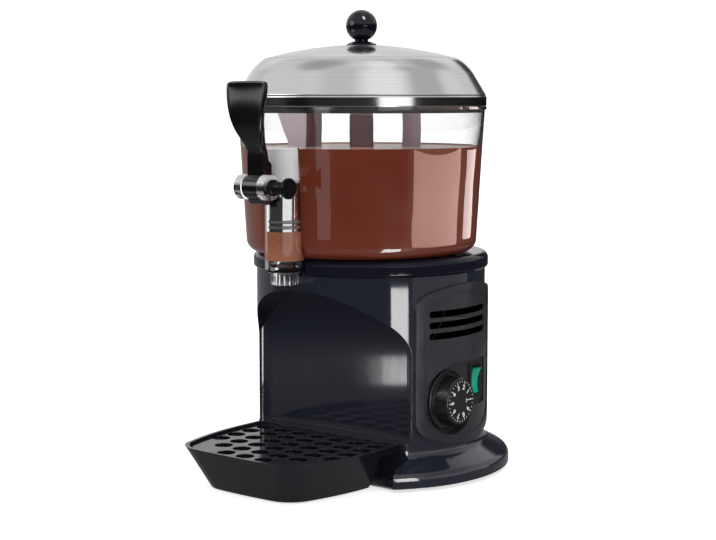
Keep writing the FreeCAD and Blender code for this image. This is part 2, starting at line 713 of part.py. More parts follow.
deck_top_z = collar_top_z - 4
spigot_z = shell_top_z - 7
spigot_radius = body_radius - shell_wall - 0.2
collar_blank = on_body_axis(turned("collar_blank", [
    (0, spigot_z), (spigot_radius, spigot_z), (spigot_radius, shell_top_z),
    (collar_radius - 2.5, shell_top_z), (collar_radius, shell_top_z + 2.5, 1.5),
    (collar_radius, collar_top_z, 7), (0, collar_top_z)]))
post_spots = [(sign * post_x, y) for sign in (-1, 1) for y in (post_near_y, post_far_y)]
screw_clearance = as_size(2.2)
collar_tools = [
    on_body_axis(rod("collar_underside", body_radius - shell_wall - 2.5,
                     deck_top_z - collar_deck - spigot_z)),
    rod("collar_recess", ledge_radius, 20, 0, 0, deck_top_z),
    rod("collar_opening", bath_radius + 1, 60, 0, 0, spigot_z - 10),
    rod("collar_tap_notch", tap_radius + 1.2, 60, 0, -tap_reach, spigot_z - 10),
]
bind(collar_tools[0], "Placement.Base.z", spigot_z)
for i, (x, y) in enumerate(post_spots):
    sink = turned(f"collar_sink_{i}", [
        (0, deck_top_z - 20), (screw_clearance, deck_top_z - 20), (screw_clearance, collar_top_z - 2.4),
        (4, collar_top_z), (0, collar_top_z)])
    collar_tools.append(place(sink, x, y, 0))
keep(cut("collar_piece", collar_blank, *collar_tools), "top_collar")

flange_top_z = deck_top_z + bath_wall
bath_tube_radius = as_size(6.5)
leg_y = root(element_radius * element_radius - element_leg_x * element_leg_x)
bath_blank = turned("bath_blank", [
    (bath_tube_radius, bath_floor_z), (bath_radius, bath_floor_z, 4), (bath_radius, deck_top_z),
    (ledge_radius - 0.3, deck_top_z), (ledge_radius - 0.3, flange_top_z),
    (bath_radius - bath_wall, flange_top_z), (bath_radius - bath_wall, bath_floor_z + bath_wall, 3),
    (bath_tube_radius + bath_wall, bath_floor_z + bath_wall),
    (bath_tube_radius + bath_wall, bowl_floor_z - 3), (bath_tube_radius, bowl_floor_z - 3)])
gland_neck = element_wire + 2
leg_holes = [rod(f"leg_hole_{i}", gland_neck + 0.1, 10, sign * element_leg_x, leg_y, bath_floor_z - 4)
             for i, sign in enumerate((-1, 1))]
keep(cut("bath_piece", bath_blank, *leg_holes), "water_bath")

keep(turned("gasket_piece", [
    (bath_radius + 1, flange_top_z), (ledge_radius - 0.3, flange_top_z),
    (ledge_radius - 0.3, bowl_floor_z - 1, 0.5), (ledge_radius - 2, bowl_floor_z - 0.1),
    (bath_radius + 2, bowl_floor_z - 0.1), (bath_radius + 1, bowl_floor_z - 1, 0.5)]), "bowl_gasket")

ring = doc.addObject("Part::Torus", "element_ring")
bind(ring, "Radius1", element_radius)
bind(ring, "Radius2", element_wire)
place(ring, 0, 0, element_z)
leg_foot_z = bath_floor_z - 14
leg_radius = element_wire - 0.25
legs = [rod(f"element_leg_{i}", leg_radius, element_z - leg_foot_z, sign * element_leg_x, leg_y, leg_foot_z)
        for i, sign in enumerate((-1, 1))]
keep(join("element_piece", ring, *legs), "heating_element")

glands = []
for i, sign in enumerate((-1, 1)):
    bath_floor_top_z = bath_floor_z + bath_wall
    gland = turned(f"element_gland_{i}", [
        (leg_radius + 0.05, bath_floor_z - 8), (8, bath_floor_z - 8), (8, bath_floor_z),
        (gland_neck, bath_floor_z), (gland_neck, bath_floor_top_z), (7.5, bath_floor_top_z),
        (7.5, bath_floor_top_z + 1.2), (leg_radius + 0.05, bath_floor_top_z + 1.2)])
    glands.append(place(gland, sign * element_leg_x, leg_y, 0))
group("element_glands", glands)

keep(place(turned("cutout_piece", [
    (0, bath_floor_z - 12), (3, bath_floor_z - 12), (3, bath_floor_z - 9), (11, bath_floor_z - 9, 1),
    (11, bath_floor_z - 3), (13, bath_floor_z - 3), (13, bath_floor_z), (0, bath_floor_z)]),
    -50, 40, 0), "safety_thermostat")


# ---------------------------------------------------------------- motor, gearbox and drive shaft

bracket_top_z = bracket_z + bracket_wall
gear_half = as_size(33)
gear_front, gear_rear = as_size(-19), as_size(52)
bracket_half = post_x + 6
bracket_near, bracket_far = post_near_y - 9, post_far_y + 6
gear_screw_spots = [(x, y) for x in (-26, 26) for y in (2, 26)]
bracket_holes = [(0, 0, 8 + seat_gap)]
bracket_holes += [(x, y, screw_clearance) for x, y in post_spots]
bracket_holes += [(x, y, as_size(1.7)) for x, y in gear_screw_spots]
keep(place(slab("bracket_piece", "XY", [
    (-bracket_half, bracket_near, 5), (bracket_half, bracket_near, 5),
    (bracket_half, bracket_far, 5), (-bracket_half, bracket_far, 5)],
    bracket_wall, bracket_holes), 0, 0, bracket_z), "motor_bracket")

gearbox_foot_z = bracket_z - gearbox_height
gearbox_case = place(slab("gearbox_case", "XY", [
    (-gear_half, gear_front, 8), (gear_half, gear_front, 8),
    (gear_half, gear_rear, 8), (-gear_half, gear_rear, 8)], gearbox_height), 0, 0, gearbox_foot_z)
shaft_foot_z = bracket_z - 26
gearbox_tools = [rod("gearbox_bore", shaft_radius + shaft_gap, 40, 0, 0, shaft_foot_z - 0.5)]
gearbox_tools += [rod(f"gear_screw_hole_{i}", as_size(1.5), 20, x, y, bracket_z - 8)
                  for i, (x, y) in enumerate(gear_screw_spots)]
keep(cut("gearbox_piece", gearbox_case, *gearbox_tools), "gearbox")

motor_foot_z = gearbox_foot_z - motor_height
keep(place(turned("motor_piece", [
    (0, motor_foot_z), (8, motor_foot_z), (8, motor_foot_z + 4), (motor_radius - 3, motor_foot_z + 4, 2),
    (motor_radius - 3, motor_foot_z + 14), (motor_radius, motor_foot_z + 14),
    (motor_radius, gearbox_foot_z - 10), (motor_radius - 3, gearbox_foot_z - 10),
    (motor_radius - 3, gearbox_foot_z), (0, gearbox_foot_z)]), 0, motor_back, 0), "motor")

gear_screws = []
for i, (x, y) in enumerate(gear_screw_spots):
    screw = turned(f"gear_screw_{i}", [
        (0, bracket_z - 7), (1.5, bracket_z - 7), (1.5, bracket_top_z), (3, bracket_top_z),
        (3, bracket_top_z + 1.4), (2, bracket_top_z + 2.2), (0, bracket_top_z + 2.2)])
    gear_screws.append(place(screw, x, y, 0))
group("gearbox_screws", gear_screws)

post_top_z = deck_top_z - collar_deck
post_length = post_top_z - bracket_top_z
posts, post_screws, collar_screws = [], [], []
for i, (x, y) in enumerate(post_spots):
    blank = rod(f"post_blank_{i}", post_radius, post_length, x, y, bracket_top_z)
    bore = rod(f"post_bore_{i}", base_screw_radius, 60, x, y, bracket_top_z - 5)
    posts.append(cut(f"post_{i}", blank, bore))
    lower = turned(f"post_screw_{i}", [
        (0, bracket_z - 2.2), (2, bracket_z - 2.2), (3.5, bracket_z - 1.2), (3.5, bracket_z),
        (base_screw_radius, bracket_z), (base_screw_radius, bracket_top_z + 9), (0, bracket_top_z + 9)])
    post_screws.append(place(lower, x, y, 0))
    upper = turned(f"collar_screw_{i}", [
        (0, post_top_z - 10), (base_screw_radius, post_top_z - 10),
        (base_screw_radius, collar_top_z - 2.4), (3.8, collar_top_z - 0.1), (0, collar_top_z - 0.1)])
    collar_screws.append(place(upper, x, y, 0))
group("bracket_posts", posts)
group("bracket_screws", post_screws)
group("collar_screws", collar_screws)

bush_bore = shaft_radius + shaft_gap
keep(turned("shaft_bush_piece", [
    (bush_bore, bracket_z), (8, bracket_z), (8, bracket_top_z), (11, bracket_top_z),
    (11, bracket_top_z + 2), (7, bracket_top_z + 2), (6, bracket_top_z + 7),
    (bush_bore, bracket_top_z + 7)]), "shaft_bush")

column_top_z = bowl_rim_z - column_drop
hub_foot_z = column_top_z + 1 + running_gap
hex_top_z = hub_foot_z + 12


def hexagon(half_flats):
    """Corners of a hexagon with two flats facing +Y and -Y."""
    corner = half_flats * (2 / math.sqrt(3))
    return [(corner * math.cos(math.radians(60 * i)), corner * math.sin(math.radians(60 * i)))
            for i in range(6)]


shaft_round = rod("shaft_round", shaft_radius, hub_foot_z - 2 - shaft_foot_z, 0, 0, shaft_foot_z)
shaft_hexagon = place(slab("shaft_hexagon", "XY", hexagon(hex_half), hex_top_z - hub_foot_z + 2),
                      0, 0, hub_foot_z - 2, Vector(0, 0, 1), stirrer_angle)
keep(join("shaft_piece", shaft_round, shaft_hexagon), "drive_shaft")


# ---------------------------------------------------------------- stirrer

arm_foot_z = hub_foot_z + 3
arm_height = as_size(10)
blade_top_z = arm_foot_z


def on_stirrer(thing, x=0, y=0, z=0):
    return place(thing, x, y, z, Vector(0, 0, 1), stirrer_angle)


hub_solid = turned("hub_solid", [
    (0, hub_foot_z), (hub_radius, hub_foot_z), (hub_radius, hub_foot_z + hub_height, 5),
    (0, hub_foot_z + hub_height)])
hub_arms = on_stirrer(slab("hub_arms", "XY", [
    (-wide_blade_outer, -4, 3), (slim_blade_outer, -4, 3), (slim_blade_outer, 4, 3),
    (-wide_blade_outer, 4, 3)], arm_height), 0, 0, arm_foot_z)
hub_socket = on_stirrer(slab("hub_socket", "XY", hexagon(hex_half + seat_gap), hex_top_z + 1 - hub_foot_z + 2),
                        0, 0, hub_foot_z - 2)
keep(cut("hub_piece", join("hub_arms_joined", hub_solid, hub_arms), hub_socket), "stirrer_hub")

blade_drop = blade_top_z - 300
wide_plate = on_stirrer(slab("wide_plate", "XZ", [
    (-wide_blade_outer, blade_top_z), (-wide_blade_outer + 18, blade_top_z - 54, 20),
    (-wide_blade_outer + 18, stirrer_foot_z + 4, 4), (-wide_blade_inner, stirrer_foot_z),
    (-wide_blade_inner, blade_top_z)], blade_wall), 0, 0, 0)
wide_fold = on_stirrer(slab("wide_fold", "XY", [
    (-wide_blade_inner, 0), (-wide_blade_inner, blade_wall), (-wide_blade_inner + 9, blade_wall + 8),
    (-wide_blade_inner + 11, blade_wall + 6)], blade_top_z - stirrer_foot_z), 0, 0, stirrer_foot_z)
keep(join("wide_blade_piece", wide_plate, wide_fold), "stirrer_paddle")

slim_middle = (slim_blade_outer + slim_blade_inner) / 2
keep(on_stirrer(slab("slim_blade_piece", "XY", [
    (slim_blade_inner, 5), (slim_middle, -3), (slim_blade_outer, 5), (slim_blade_outer - 2, 7),
    (slim_middle, 0.8), (slim_blade_inner + 2, 7)], blade_top_z - stirrer_foot_z),
    0, 0, stirrer_foot_z), "stirrer_bar")


# ---------------------------------------------------------------- bowl

floor_top_z = bowl_floor_z + bowl_floor_wall
bowl_blank = turned("bowl_blank", [
    (column_bore, bowl_floor_z), (bowl_base_radius, bowl_floor_z, 12),
    (bowl_radius, bowl_rim_z - lip_height), (bowl_radius + lip_proud, bowl_rim_z - lip_height),
    (bowl_radius + lip_proud, bowl_rim_z), (bowl_radius - bowl_wall, bowl_rim_z),
    (bowl_base_radius - bowl_wall, floor_top_z, 9), (column_radius + 2, floor_top_z, 3),
    (column_radius, column_top_z), (column_bore, column_top_z)])
tap_clear = rod("tap_clear", tap_radius, tap_top_z - tap_foot_z, 0, -tap_reach, tap_foot_z)
keep(cut("bowl_piece", bowl_blank, tap_clear), "bowl")

column_bush_bore = shaft_radius + seat_gap
keep(turned("column_bush_piece", [
    (column_bush_bore, column_top_z - 10), (column_bore, column_top_z - 10), (column_bore, column_top_z),
    (column_radius - 1, column_top_z), (column_radius - 1, column_top_z + 1),
    (column_bush_bore, column_top_z + 1)]), "column_bush")


# ---------------------------------------------------------------- tap tube and nozzle

tap_blank = place(turned("tap_blank", [
    (0, tap_foot_z), (tap_radius, tap_foot_z), (tap_radius, tap_top_z, 2), (0, tap_top_z)]),
    0, -tap_reach, 0)
web_outer = as_size(15)
ear_parts = []
for i, side in enumerate((-1, 1)):
    start = -ear_outer if side < 0 else ear_inner
    web_start = -web_outer if side < 0 else ear_inner
    ear_parts.append(rod(f"ear_{i}", ear_radius, ear_outer - ear_inner, start, -pivot_reach, pivot_z, "X"))
    ear_parts.append(box(f"ear_web_{i}", (web_start, web_start + (web_outer - ear_inner)),
                         (-pivot_reach, -tap_reach - tap_radius * 0.5), (pivot_z - 6, pivot_z + 6)))
arm_rest = lever_swing / 2
tip_y = arm_length * cosine(arm_rest) - pivot_reach
tip_z = pivot_z - arm_length * sine(arm_rest)
slot_half_z = as_size(11.5)
tap_tools = [
    rod("tap_bore_space", tap_bore, tap_top_z - tap_cap_wall - tap_foot_z + 5, 0, -tap_reach, tap_foot_z - 5),
    box("tap_port", (-port_width / 2, port_width / 2), (-tap_reach, -tap_reach + 40),
        (floor_top_z, port_top_z)),
    box("tap_slot", (-arm_half_width - 1, arm_half_width + 1), (-pivot_reach, -tap_reach),
        (pivot_z - slot_half_z, pivot_z + slot_half_z)),
    rod("ear_bore", pin_radius + shaft_gap, 60, -30, -pivot_reach, pivot_z, "X"),
]
keep(cut("tap_piece", join("tap_solid", tap_blank, *ear_parts), *tap_tools), "tap_body")

cone_foot_z = tap_foot_z - 4
nozzle_blank = turned("nozzle_blank", [
    (nozzle_bore + 1, nozzle_foot_z), (nozzle_radius, nozzle_foot_z, 0.8), (nozzle_radius, cone_foot_z),
    (tap_radius, tap_foot_z - 1.2), (tap_radius, tap_foot_z),
    (tap_bore - seat_gap, tap_foot_z), (tap_bore - seat_gap, seat_z), (seat_bore, seat_z),
    (seat_bore, seat_z - 3), (nozzle_bore, seat_z - 6), (nozzle_bore, nozzle_foot_z + 3)])
flutes = []
flute_count = 16
for i in range(flute_count):
    angle = math.radians(360 * i / flute_count)
    reach = nozzle_radius + 0.5
    flutes.append(rod(f"flute_{i}", as_size(1.3), 20, reach * math.cos(angle), reach * math.sin(angle),
                      cone_foot_z - 1 - 20))
keep(place(cut("nozzle_piece", nozzle_blank, *flutes), 0, -tap_reach, 0), "tap_nozzle")


# ---------------------------------------------------------------- piston, seals and spring

seal_foot_z = seat_z + running_gap
stem_foot_z = seal_foot_z + seal_height
ring_groove_radius = piston_radius + 0.3 - 2 * ring_wire - 0.05
ring_heights = [piston_head_z + 4, piston_head_z + 9]
groove_half = ring_wire + 0.2
piston_blank = place(turned("piston_blank", [
    (0, seal_foot_z + 1), (2, seal_foot_z + 1), (2, stem_foot_z), (stem_radius, stem_foot_z),
    (stem_radius, piston_head_z), (piston_radius, piston_head_z)]
    + [(radius, z + offset)
       for z in ring_heights
       for radius, offset in ((piston_radius, -groove_half), (ring_groove_radius, -groove_half),
                              (ring_groove_radius, groove_half), (piston_radius, groove_half))]
    + [(piston_radius, piston_top_z, 1), (spring_radius + 1.4, piston_top_z),
       (spring_radius + 1.4, piston_top_z - spring_seat_depth), (0, piston_top_z - spring_seat_depth)]),
    0, -tap_reach, 0)
mouth_y = -tap_reach - piston_radius - 1
tip_clear = arm_tip_radius + 0.2
tip_pocket = place(slab("tip_pocket", "YZ", [
    (tip_y + tip_clear + 2, tip_z - tip_clear), (tip_y + tip_clear + 2, tip_z + tip_clear),
    (tip_y - 3, tip_z + tip_clear), (mouth_y, tip_z + tip_clear + 5),
    (mouth_y, tip_z - tip_clear - 5), (tip_y - 3, tip_z - tip_clear)],
    2 * (arm_half_width + 0.4)), -arm_half_width - 0.4, 0, 0)
keep(cut("piston_piece", piston_blank, tip_pocket), "tap_piston")

piston_rings = []
for i, z in enumerate(ring_heights):
    ring = doc.addObject("Part::Torus", f"piston_ring_{i}")
    bind(ring, "Radius1", piston_radius + 0.3 - ring_wire)
    bind(ring, "Radius2", ring_wire)
    piston_rings.append(place(ring, 0, -tap_reach, z))
group("piston_rings", piston_rings)

keep(place(turned("seal_piece", [
    (2, seal_foot_z), (seal_radius - 2, seal_foot_z), (seal_radius, seal_foot_z + 2),
    (seal_radius, stem_foot_z), (2, stem_foot_z)]), 0, -tap_reach, 0), "valve_seal")

# The spring is an open coil of six turns, so it is swept along its own line rather than drawn.
spring_foot_z = float(piston_top_z) - float(spring_seat_depth)
spring_head_z = float(tap_top_z) - float(tap_cap_wall)
spring_turns = 6
wire = float(spring_wire)
coil_height = spring_head_z - spring_foot_z - 2 * wire - 0.2
coil_path = Part.makeHelix(coil_height / spring_turns, coil_height, float(spring_radius))
wire_corners = [Vector(float(spring_radius) + wire * math.cos(math.radians(45 * i)), 0,
                       wire * math.sin(math.radians(45 * i))) for i in range(9)]
coil_section = Part.makePolygon(wire_corners)
coil = Part.Wire(coil_path.Edges).makePipeShell([coil_section], True, False)
spring = doc.addObject("Part::Feature", "spring_piece")
spring.Shape = coil
keep(place(spring, 0, -tap_reach, piston_top_z - spring_seat_depth + spring_wire + 0.1), "tap_spring")


# ---------------------------------------------------------------- lever and its pin

lever_half = ear_inner - running_gap
neck_half = lever_half - 0.7
lever_side = place(slab("lever_side", "YZ", [
    (-pivot_reach - 1.5, pivot_z), (-pivot_reach - 1.5, pivot_z + 31, 6),
    (-pivot_reach - 11.3, pivot_z + 48, 30), (-pivot_reach - 16.3, pivot_z + 65, 30),
    (-pivot_reach - 13.5, lever_top_z, 2),
    (-pivot_reach - 8.5, lever_top_z, 2), (-pivot_reach - 9.3, pivot_z + 66, 30),
    (-pivot_reach - 3.3, pivot_z + 49, 30), (-pivot_reach + 9.5, pivot_z + 33, 10),
    (-pivot_reach + 9.5, pivot_z)], 60), -30, 0, 0)
lever_front = place(slab("lever_front", "XZ", mirrored([
    (neck_half, pivot_z - 1), (neck_half, pivot_z + 32, 10), (neck_half + 6.8, pivot_z + 49, 50),
    (neck_half + 12, pivot_z + 71, 50), (paddle_half, lever_top_z, 7)]), 60),
    0, -pivot_reach - 40, 0)
lever_handle = overlap("lever_handle", lever_side, lever_front)
lever_hub = rod("lever_hub", 10.5, 2 * lever_half, -lever_half, -pivot_reach, pivot_z, "X")
lever_neck = place(slab("lever_neck", "YZ", [
    (-pivot_reach - 2.2, pivot_z), (-pivot_reach - 2.2, pivot_z + 31.2),
    (-pivot_reach + 10.2, pivot_z + 20.5), (-pivot_reach + 10.2, pivot_z)], 2 * lever_half),
    -lever_half, 0, 0)
lever_lobe = rod("lever_lobe", 6.5, 2 * lever_half, -lever_half, -pivot_reach + 5, pivot_z - 9.5, "X")
arm_plate = place(slab("arm_plate", "YZ", [
    (0, -5), (arm_length, -3), (arm_length, 3), (0, 5)], 2 * arm_half_width),
    -arm_half_width, -pivot_reach, pivot_z, Vector(1, 0, 0), -arm_rest)
arm_tip = rod("arm_tip", arm_tip_radius, 2 * arm_half_width, -arm_half_width, tip_y, tip_z, "X")
lever_bore = rod("lever_bore", pin_radius + shaft_gap, 60, -30, -pivot_reach, pivot_z, "X")
keep(cut("lever_piece",
         join("lever_solid", lever_handle, lever_hub, lever_neck, lever_lobe, arm_plate, arm_tip),
         lever_bore), "tap_lever")

keep(place(turned("pin_piece", [
    (0, -ear_outer - 1), (pin_radius - 0.8, -ear_outer - 1), (pin_radius, -ear_outer),
    (pin_radius, ear_outer + running_gap), (7.5, ear_outer + running_gap),
    (7.5, ear_outer + 3.5, 0.5), (5.6, ear_outer + 4.5), (6, pin_reach - 8),
    (9.5, pin_reach - 3), (9.5, pin_reach, 1), (0, pin_reach)]),
    0, -pivot_reach, pivot_z, Vector(0, 1, 0), 90), "tap_pin")


# ---------------------------------------------------------------- lid

lid_foot_z = bowl_rim_z + lid_gap
lid_shoulder_z = bowl_rim_z + lid_shoulder_rise
lid_top_z = bowl_rim_z + lid_rise
knob_z = lid_top_z + knob_rise
dome_edge = lid_shoulder_radius - 9
dome_drop = lid_top_z - lid_shoulder_z - 8.5
dome_radius = (dome_edge * dome_edge + dome_drop * dome_drop) / (2 * dome_drop)
inner_dome = dome_radius - lid_wall
dome_mid_z = lid_top_z - dome_radius + root(dome_radius * dome_radius - 2500)
inner_mid_z = lid_top_z - dome_radius + root(inner_dome * inner_dome - 2500)
band_top_z = lid_foot_z + lid_band
lip_inner = bowl_radius - bowl_wall - 0.7
inner_radius = lid_radius - lid_wall
keep(cut("lid_piece", turned("lid_blank", [
    (lid_radius, lid_foot_z), (lid_radius, band_top_z),
    (lid_shoulder_radius, lid_shoulder_z), ("arc", lid_shoulder_radius - 3, lid_shoulder_z + 5.2),
    (dome_edge, lid_top_z - dome_drop), ("arc", 50, dome_mid_z),
    (0, lid_top_z), (0, lid_top_z - lid_wall), ("arc", 50, inner_mid_z),
    (lid_shoulder_radius - 9.5, lid_shoulder_z + 8.5 - lid_wall),
    ("arc", lid_shoulder_radius - 4, lid_shoulder_z + 4.2),
    (lid_shoulder_radius - 1.6, lid_shoulder_z - 0.6),
    (inner_radius, band_top_z - 0.6), (inner_radius, lid_foot_z + lid_wall),
    (lip_inner - lid_wall, lid_foot_z + lid_wall), (lip_inner - lid_wall, lid_foot_z - 6),
    (lip_inner, lid_foot_z - 6), (lip_inner, lid_foot_z)]),
    rod("lid_hole", 2.6, 20, 0, 0, lid_top_z - 10)), "lid")

flange_top = lid_top_z + flange_height
keep(turned("flange_piece", [
    (2.6, lid_top_z), (flange_radius - 4.5, lid_top_z),
    (flange_radius, lid_top_z + flange_height / 2, 2.5),
    (flange_radius - 4.5, flange_top, 2), (2.6, flange_top)]), "knob_flange")

neck_radius = as_size(6.5)
neck_z = knob_z - root(knob_radius * knob_radius - neck_radius * neck_radius)
screw_top_z = knob_z + 2
keep(turned("knob_piece", [
    (2.5, flange_top), (neck_radius, flange_top), (neck_radius, neck_z),
    ("arc", knob_radius, knob_z), (0, knob_z + knob_radius), (0, screw_top_z), (2.5, screw_top_z)]),
    "lid_knob")
screw_head_z = lid_top_z - lid_wall
keep(turned("lid_screw_piece", [
    (0, screw_head_z - 3.4), (3.6, screw_head_z - 3.4), (5, screw_head_z - 2), (5, screw_head_z - 0.1),
    (2.5, screw_head_z - 0.1), (2.5, screw_top_z - 0.5), (0, screw_top_z - 0.5)]), "lid_screw")


# ---------------------------------------------------------------- dial, thermostat and switch

dial_foot_x = recess_floor_x + 0.5
dial_face_x = recess_floor_x + dial_height
dial_blank = turned("dial_blank", [
    (dial_shaft_radius, dial_foot_x), (dial_skirt_radius, dial_foot_x, 0.8),
    (dial_skirt_radius, dial_foot_x + 2.5, 1), (dial_grip_radius, dial_foot_x + 3.5),
    (dial_face_radius + 1, dial_face_x - 1.5), (dial_face_radius, dial_face_x, 0.8),
    (0, dial_face_x), (0, dial_face_x - 5), (dial_shaft_radius, dial_face_x - 5)])
grips = []
grip_count = 24
for i in range(grip_count):
    angle = math.radians(360 * i / grip_count)
    reach = dial_grip_radius + 0.6
    grips.append(rod(f"grip_{i}", as_size(1.2), 12, reach * math.cos(angle), reach * math.sin(angle),
                     dial_foot_x + 4))
keep(place(cut("dial_piece", dial_blank, *grips), 0, dial_recess_y, dial_z, Vector(0, 1, 0), 90),
     "thermostat_knob")

thermostat_face_x = recess_floor_x - recess_wall - seat_gap
thermostat_case = box("thermostat_case", (82, thermostat_face_x), (dial_y - 16, dial_y + 16),
                      (dial_z - 17, dial_z + 17))
thermostat_bore = rod("thermostat_bore", dial_shaft_radius + shaft_gap, 20, 90, dial_recess_y, dial_z, "X")
keep(cut("thermostat_piece", thermostat_case, thermostat_bore), "thermostat_body")
keep(rod("thermostat_shaft_piece", dial_shaft_radius, dial_face_x - 5 - 90.5, 90.5,
         dial_recess_y, dial_z, "X"), "thermostat_shaft")

frame_top_x = recess_floor_x + 2
well_half_y = rocker_width / 2 + 0.35
well_half_z = rocker_length / 2 + 1.3
switch_flange = box("switch_flange", (recess_floor_x, frame_top_x),
                    (switch_y - switch_width / 2, switch_y + switch_width / 2),
                    (switch_z - switch_height / 2, switch_z + switch_height / 2))
switch_case = box("switch_case", (84, recess_floor_x),
                  (switch_y - switch_hole_half_y + seat_gap, switch_y + switch_hole_half_y - seat_gap),
                  (switch_z - switch_hole_half_z + seat_gap, switch_z + switch_hole_half_z - seat_gap))
switch_well = box("switch_well", (94, frame_top_x + 1),
                  (switch_y - well_half_y, switch_y + well_half_y),
                  (switch_z - well_half_z, switch_z + well_half_z))
terminals = [box(f"switch_terminal_{i}", (76, 84), (switch_y - 3, switch_y + 3),
                 (switch_z + dz - 0.4, switch_z + dz + 0.4)) for i, dz in enumerate((-7, 7))]
keep(cut("switch_piece", join("switch_solid", switch_flange, switch_case, *terminals), switch_well),
     "switch_housing")

rocker_pivot_x = recess_floor_x - 5
half = rocker_length / 2
rocker = slab("rocker_piece", "XZ", [
    (-2.5, -5), (2, -half + 0.4), (8, -half), ("arc", 5.6, 0), (8, half), (2, half - 0.4), (-2.5, 5)],
    rocker_width)
keep(place(rocker, rocker_pivot_x, switch_y - rocker_width / 2, switch_z, Vector(0, 1, 0), rocker_tilt),
     "power_rocker")


# ---------------------------------------------------------------- drip tray and grille

def tray_outline(inset, rear):
    """The tray seen from above: a shallow bow in front, round corners, and sides that spread."""
    front = inset - tray_front
    half = tray_half - inset
    return [
        (-(half - 40), front + 1), ("arc", 0, front), (half - 40, front + 1),
        ("arc", half - 21, front + 8), (half - 12, front + 23),
        ("arc", half - 3, front + 63), (half, front + 108),
        (half, rear), (-half, rear),
        (-half, front + 108), ("arc", 3 - half, front + 63),
        (12 - half, front + 23), ("arc", 21 - half, front + 8),
    ]


def tray_form(name, inset, rear, low_z, high_z, low_inset):
    """A tapering block between two outlines of the tray."""
    body = doc.addObject("PartDesign::Body", name)
    low = sketch_on(body, "XY")
    draw_outline(low, tray_outline(inset + low_inset, rear))
    high = sketch_on(body, "XY")
    draw_outline(high, tray_outline(inset, rear))
    bind(low, "AttachmentOffset.Base.z", low_z)
    bind(high, "AttachmentOffset.Base.z", high_z)
    loft = body.newObject("PartDesign::AdditiveLoft", f"{name}_loft")
    loft.Profile = low
    loft.Sections = [high]
    loft.Ruled = True
    return body


tray_floor = as_size(2.5)
rear_line = -tray_rear
tray_outer = tray_form("tray_outer", as_size(0), rear_line, tray_foot_z, tray_rim_z, tray_taper)
under_step = box("under_step", (-120, 120), (-tray_step_y, 0), (-5, tray_step_z))
seat_line_z = grille_z - 0.2
lean = tray_taper / (tray_rim_z - tray_foot_z)
floor_line_z = tray_foot_z + tray_floor
seat_width = as_size(3)
lower_space = tray_form("lower_space", tray_wall + seat_width, rear_line - tray_wall - seat_width,
                        floor_line_z, seat_line_z + 0.5, lean * (seat_line_z - floor_line_z))
step_keep = box("step_keep", (-120, 120), (-tray_step_y - tray_wall, 0),
                (-5, tray_step_z + tray_floor - 0.5))
upper_space = tray_form("upper_space", tray_wall, rear_line - tray_wall,
                        seat_line_z, tray_rim_z + 1, lean * 4)
skids = [box(f"skid_{i}", (x - 12, x + 12), (-155, -150), (0, tray_foot_z + 1))
         for i, x in enumerate((-35, 35))]
tray_solid = join("tray_solid", cut("tray_stepped", tray_outer, under_step), *skids)
keep(cut("tray_piece", tray_solid, cut("tray_hollow", lower_space, step_keep), upper_space), "drip_tray")

grille_gap = as_size(0.5)
grille_inset = tray_wall + grille_gap + lean * (tray_rim_z - grille_z)
grille_rear = rear_line - tray_wall - grille_gap
grille_holes = []
for row in range(6):
    hole_y = 18 - tray_front + grille_pitch_y * row
    spread = min(row + 1, 3)
    for column in range(-spread, spread + 1):
        grille_holes.append((grille_pitch_x * column, hole_y, grille_hole_radius))
keep(place(slab("grille_piece", "XY", tray_outline(grille_inset, grille_rear), grille_wall,
                grille_holes), 0, 0, grille_z), "drip_grille")


# ---------------------------------------------------------------- mains inlet and wiring

gland_face_y = body_setback + body_radius
keep(place(turned("cord_gland_piece", [
    (gland_bore, -14), (10.5, -14), (10.5, -8), (7.9, -8), (7.9, 0.1), (11, 0.1), (11, 4, 1),
    (8, 8), (6.5, 12, 0.6), (gland_bore, 12)]),
    0, gland_face_y, gland_z, Vector(1, 0, 0), -90), "cable_gland")

keep(box("terminal_piece", (-26, 26), (72, 90), (base_top_z, base_top_z + 17)), "terminal_block")


def tube(label, points, radius):
    """A tube along straight runs joined by tangent arcs, each as large as its runs allow."""
    spots = [Vector(*[float(value) for value in point]) for point in points]
    edges = []
    at = spots[0]
    for before, corner, after in zip(spots, spots[1:], spots[2:]):
        into, out = (corner - before).normalize(), (after - corner).normalize()
        run = min((corner - before).Length, (after - corner).Length)
        trim = 0.45 * run
        start, end = corner - into * trim, corner + out * trim
        bend = trim / math.tan(into.getAngle(out) / 2)
        inward = (out - into).normalize()
        centre = corner + inward * math.hypot(bend, trim)
        middle = centre - inward * bend
        edges.append(Part.LineSegment(at, start).toShape())
        edges.append(Part.Arc(start, middle, end).toShape())
        at = end
    edges.append(Part.LineSegment(at, spots[-1]).toShape())
    path = Part.Wire(edges)
    first = (spots[1] - spots[0]).normalize()
    section = Part.Wire(Part.makeCircle(float(radius), spots[0], first))
    piece = doc.addObject("Part::Feature", f"{label}_tube")
    piece.Shape = path.makePipeShell([section], True, False)
    return keep(piece, label)


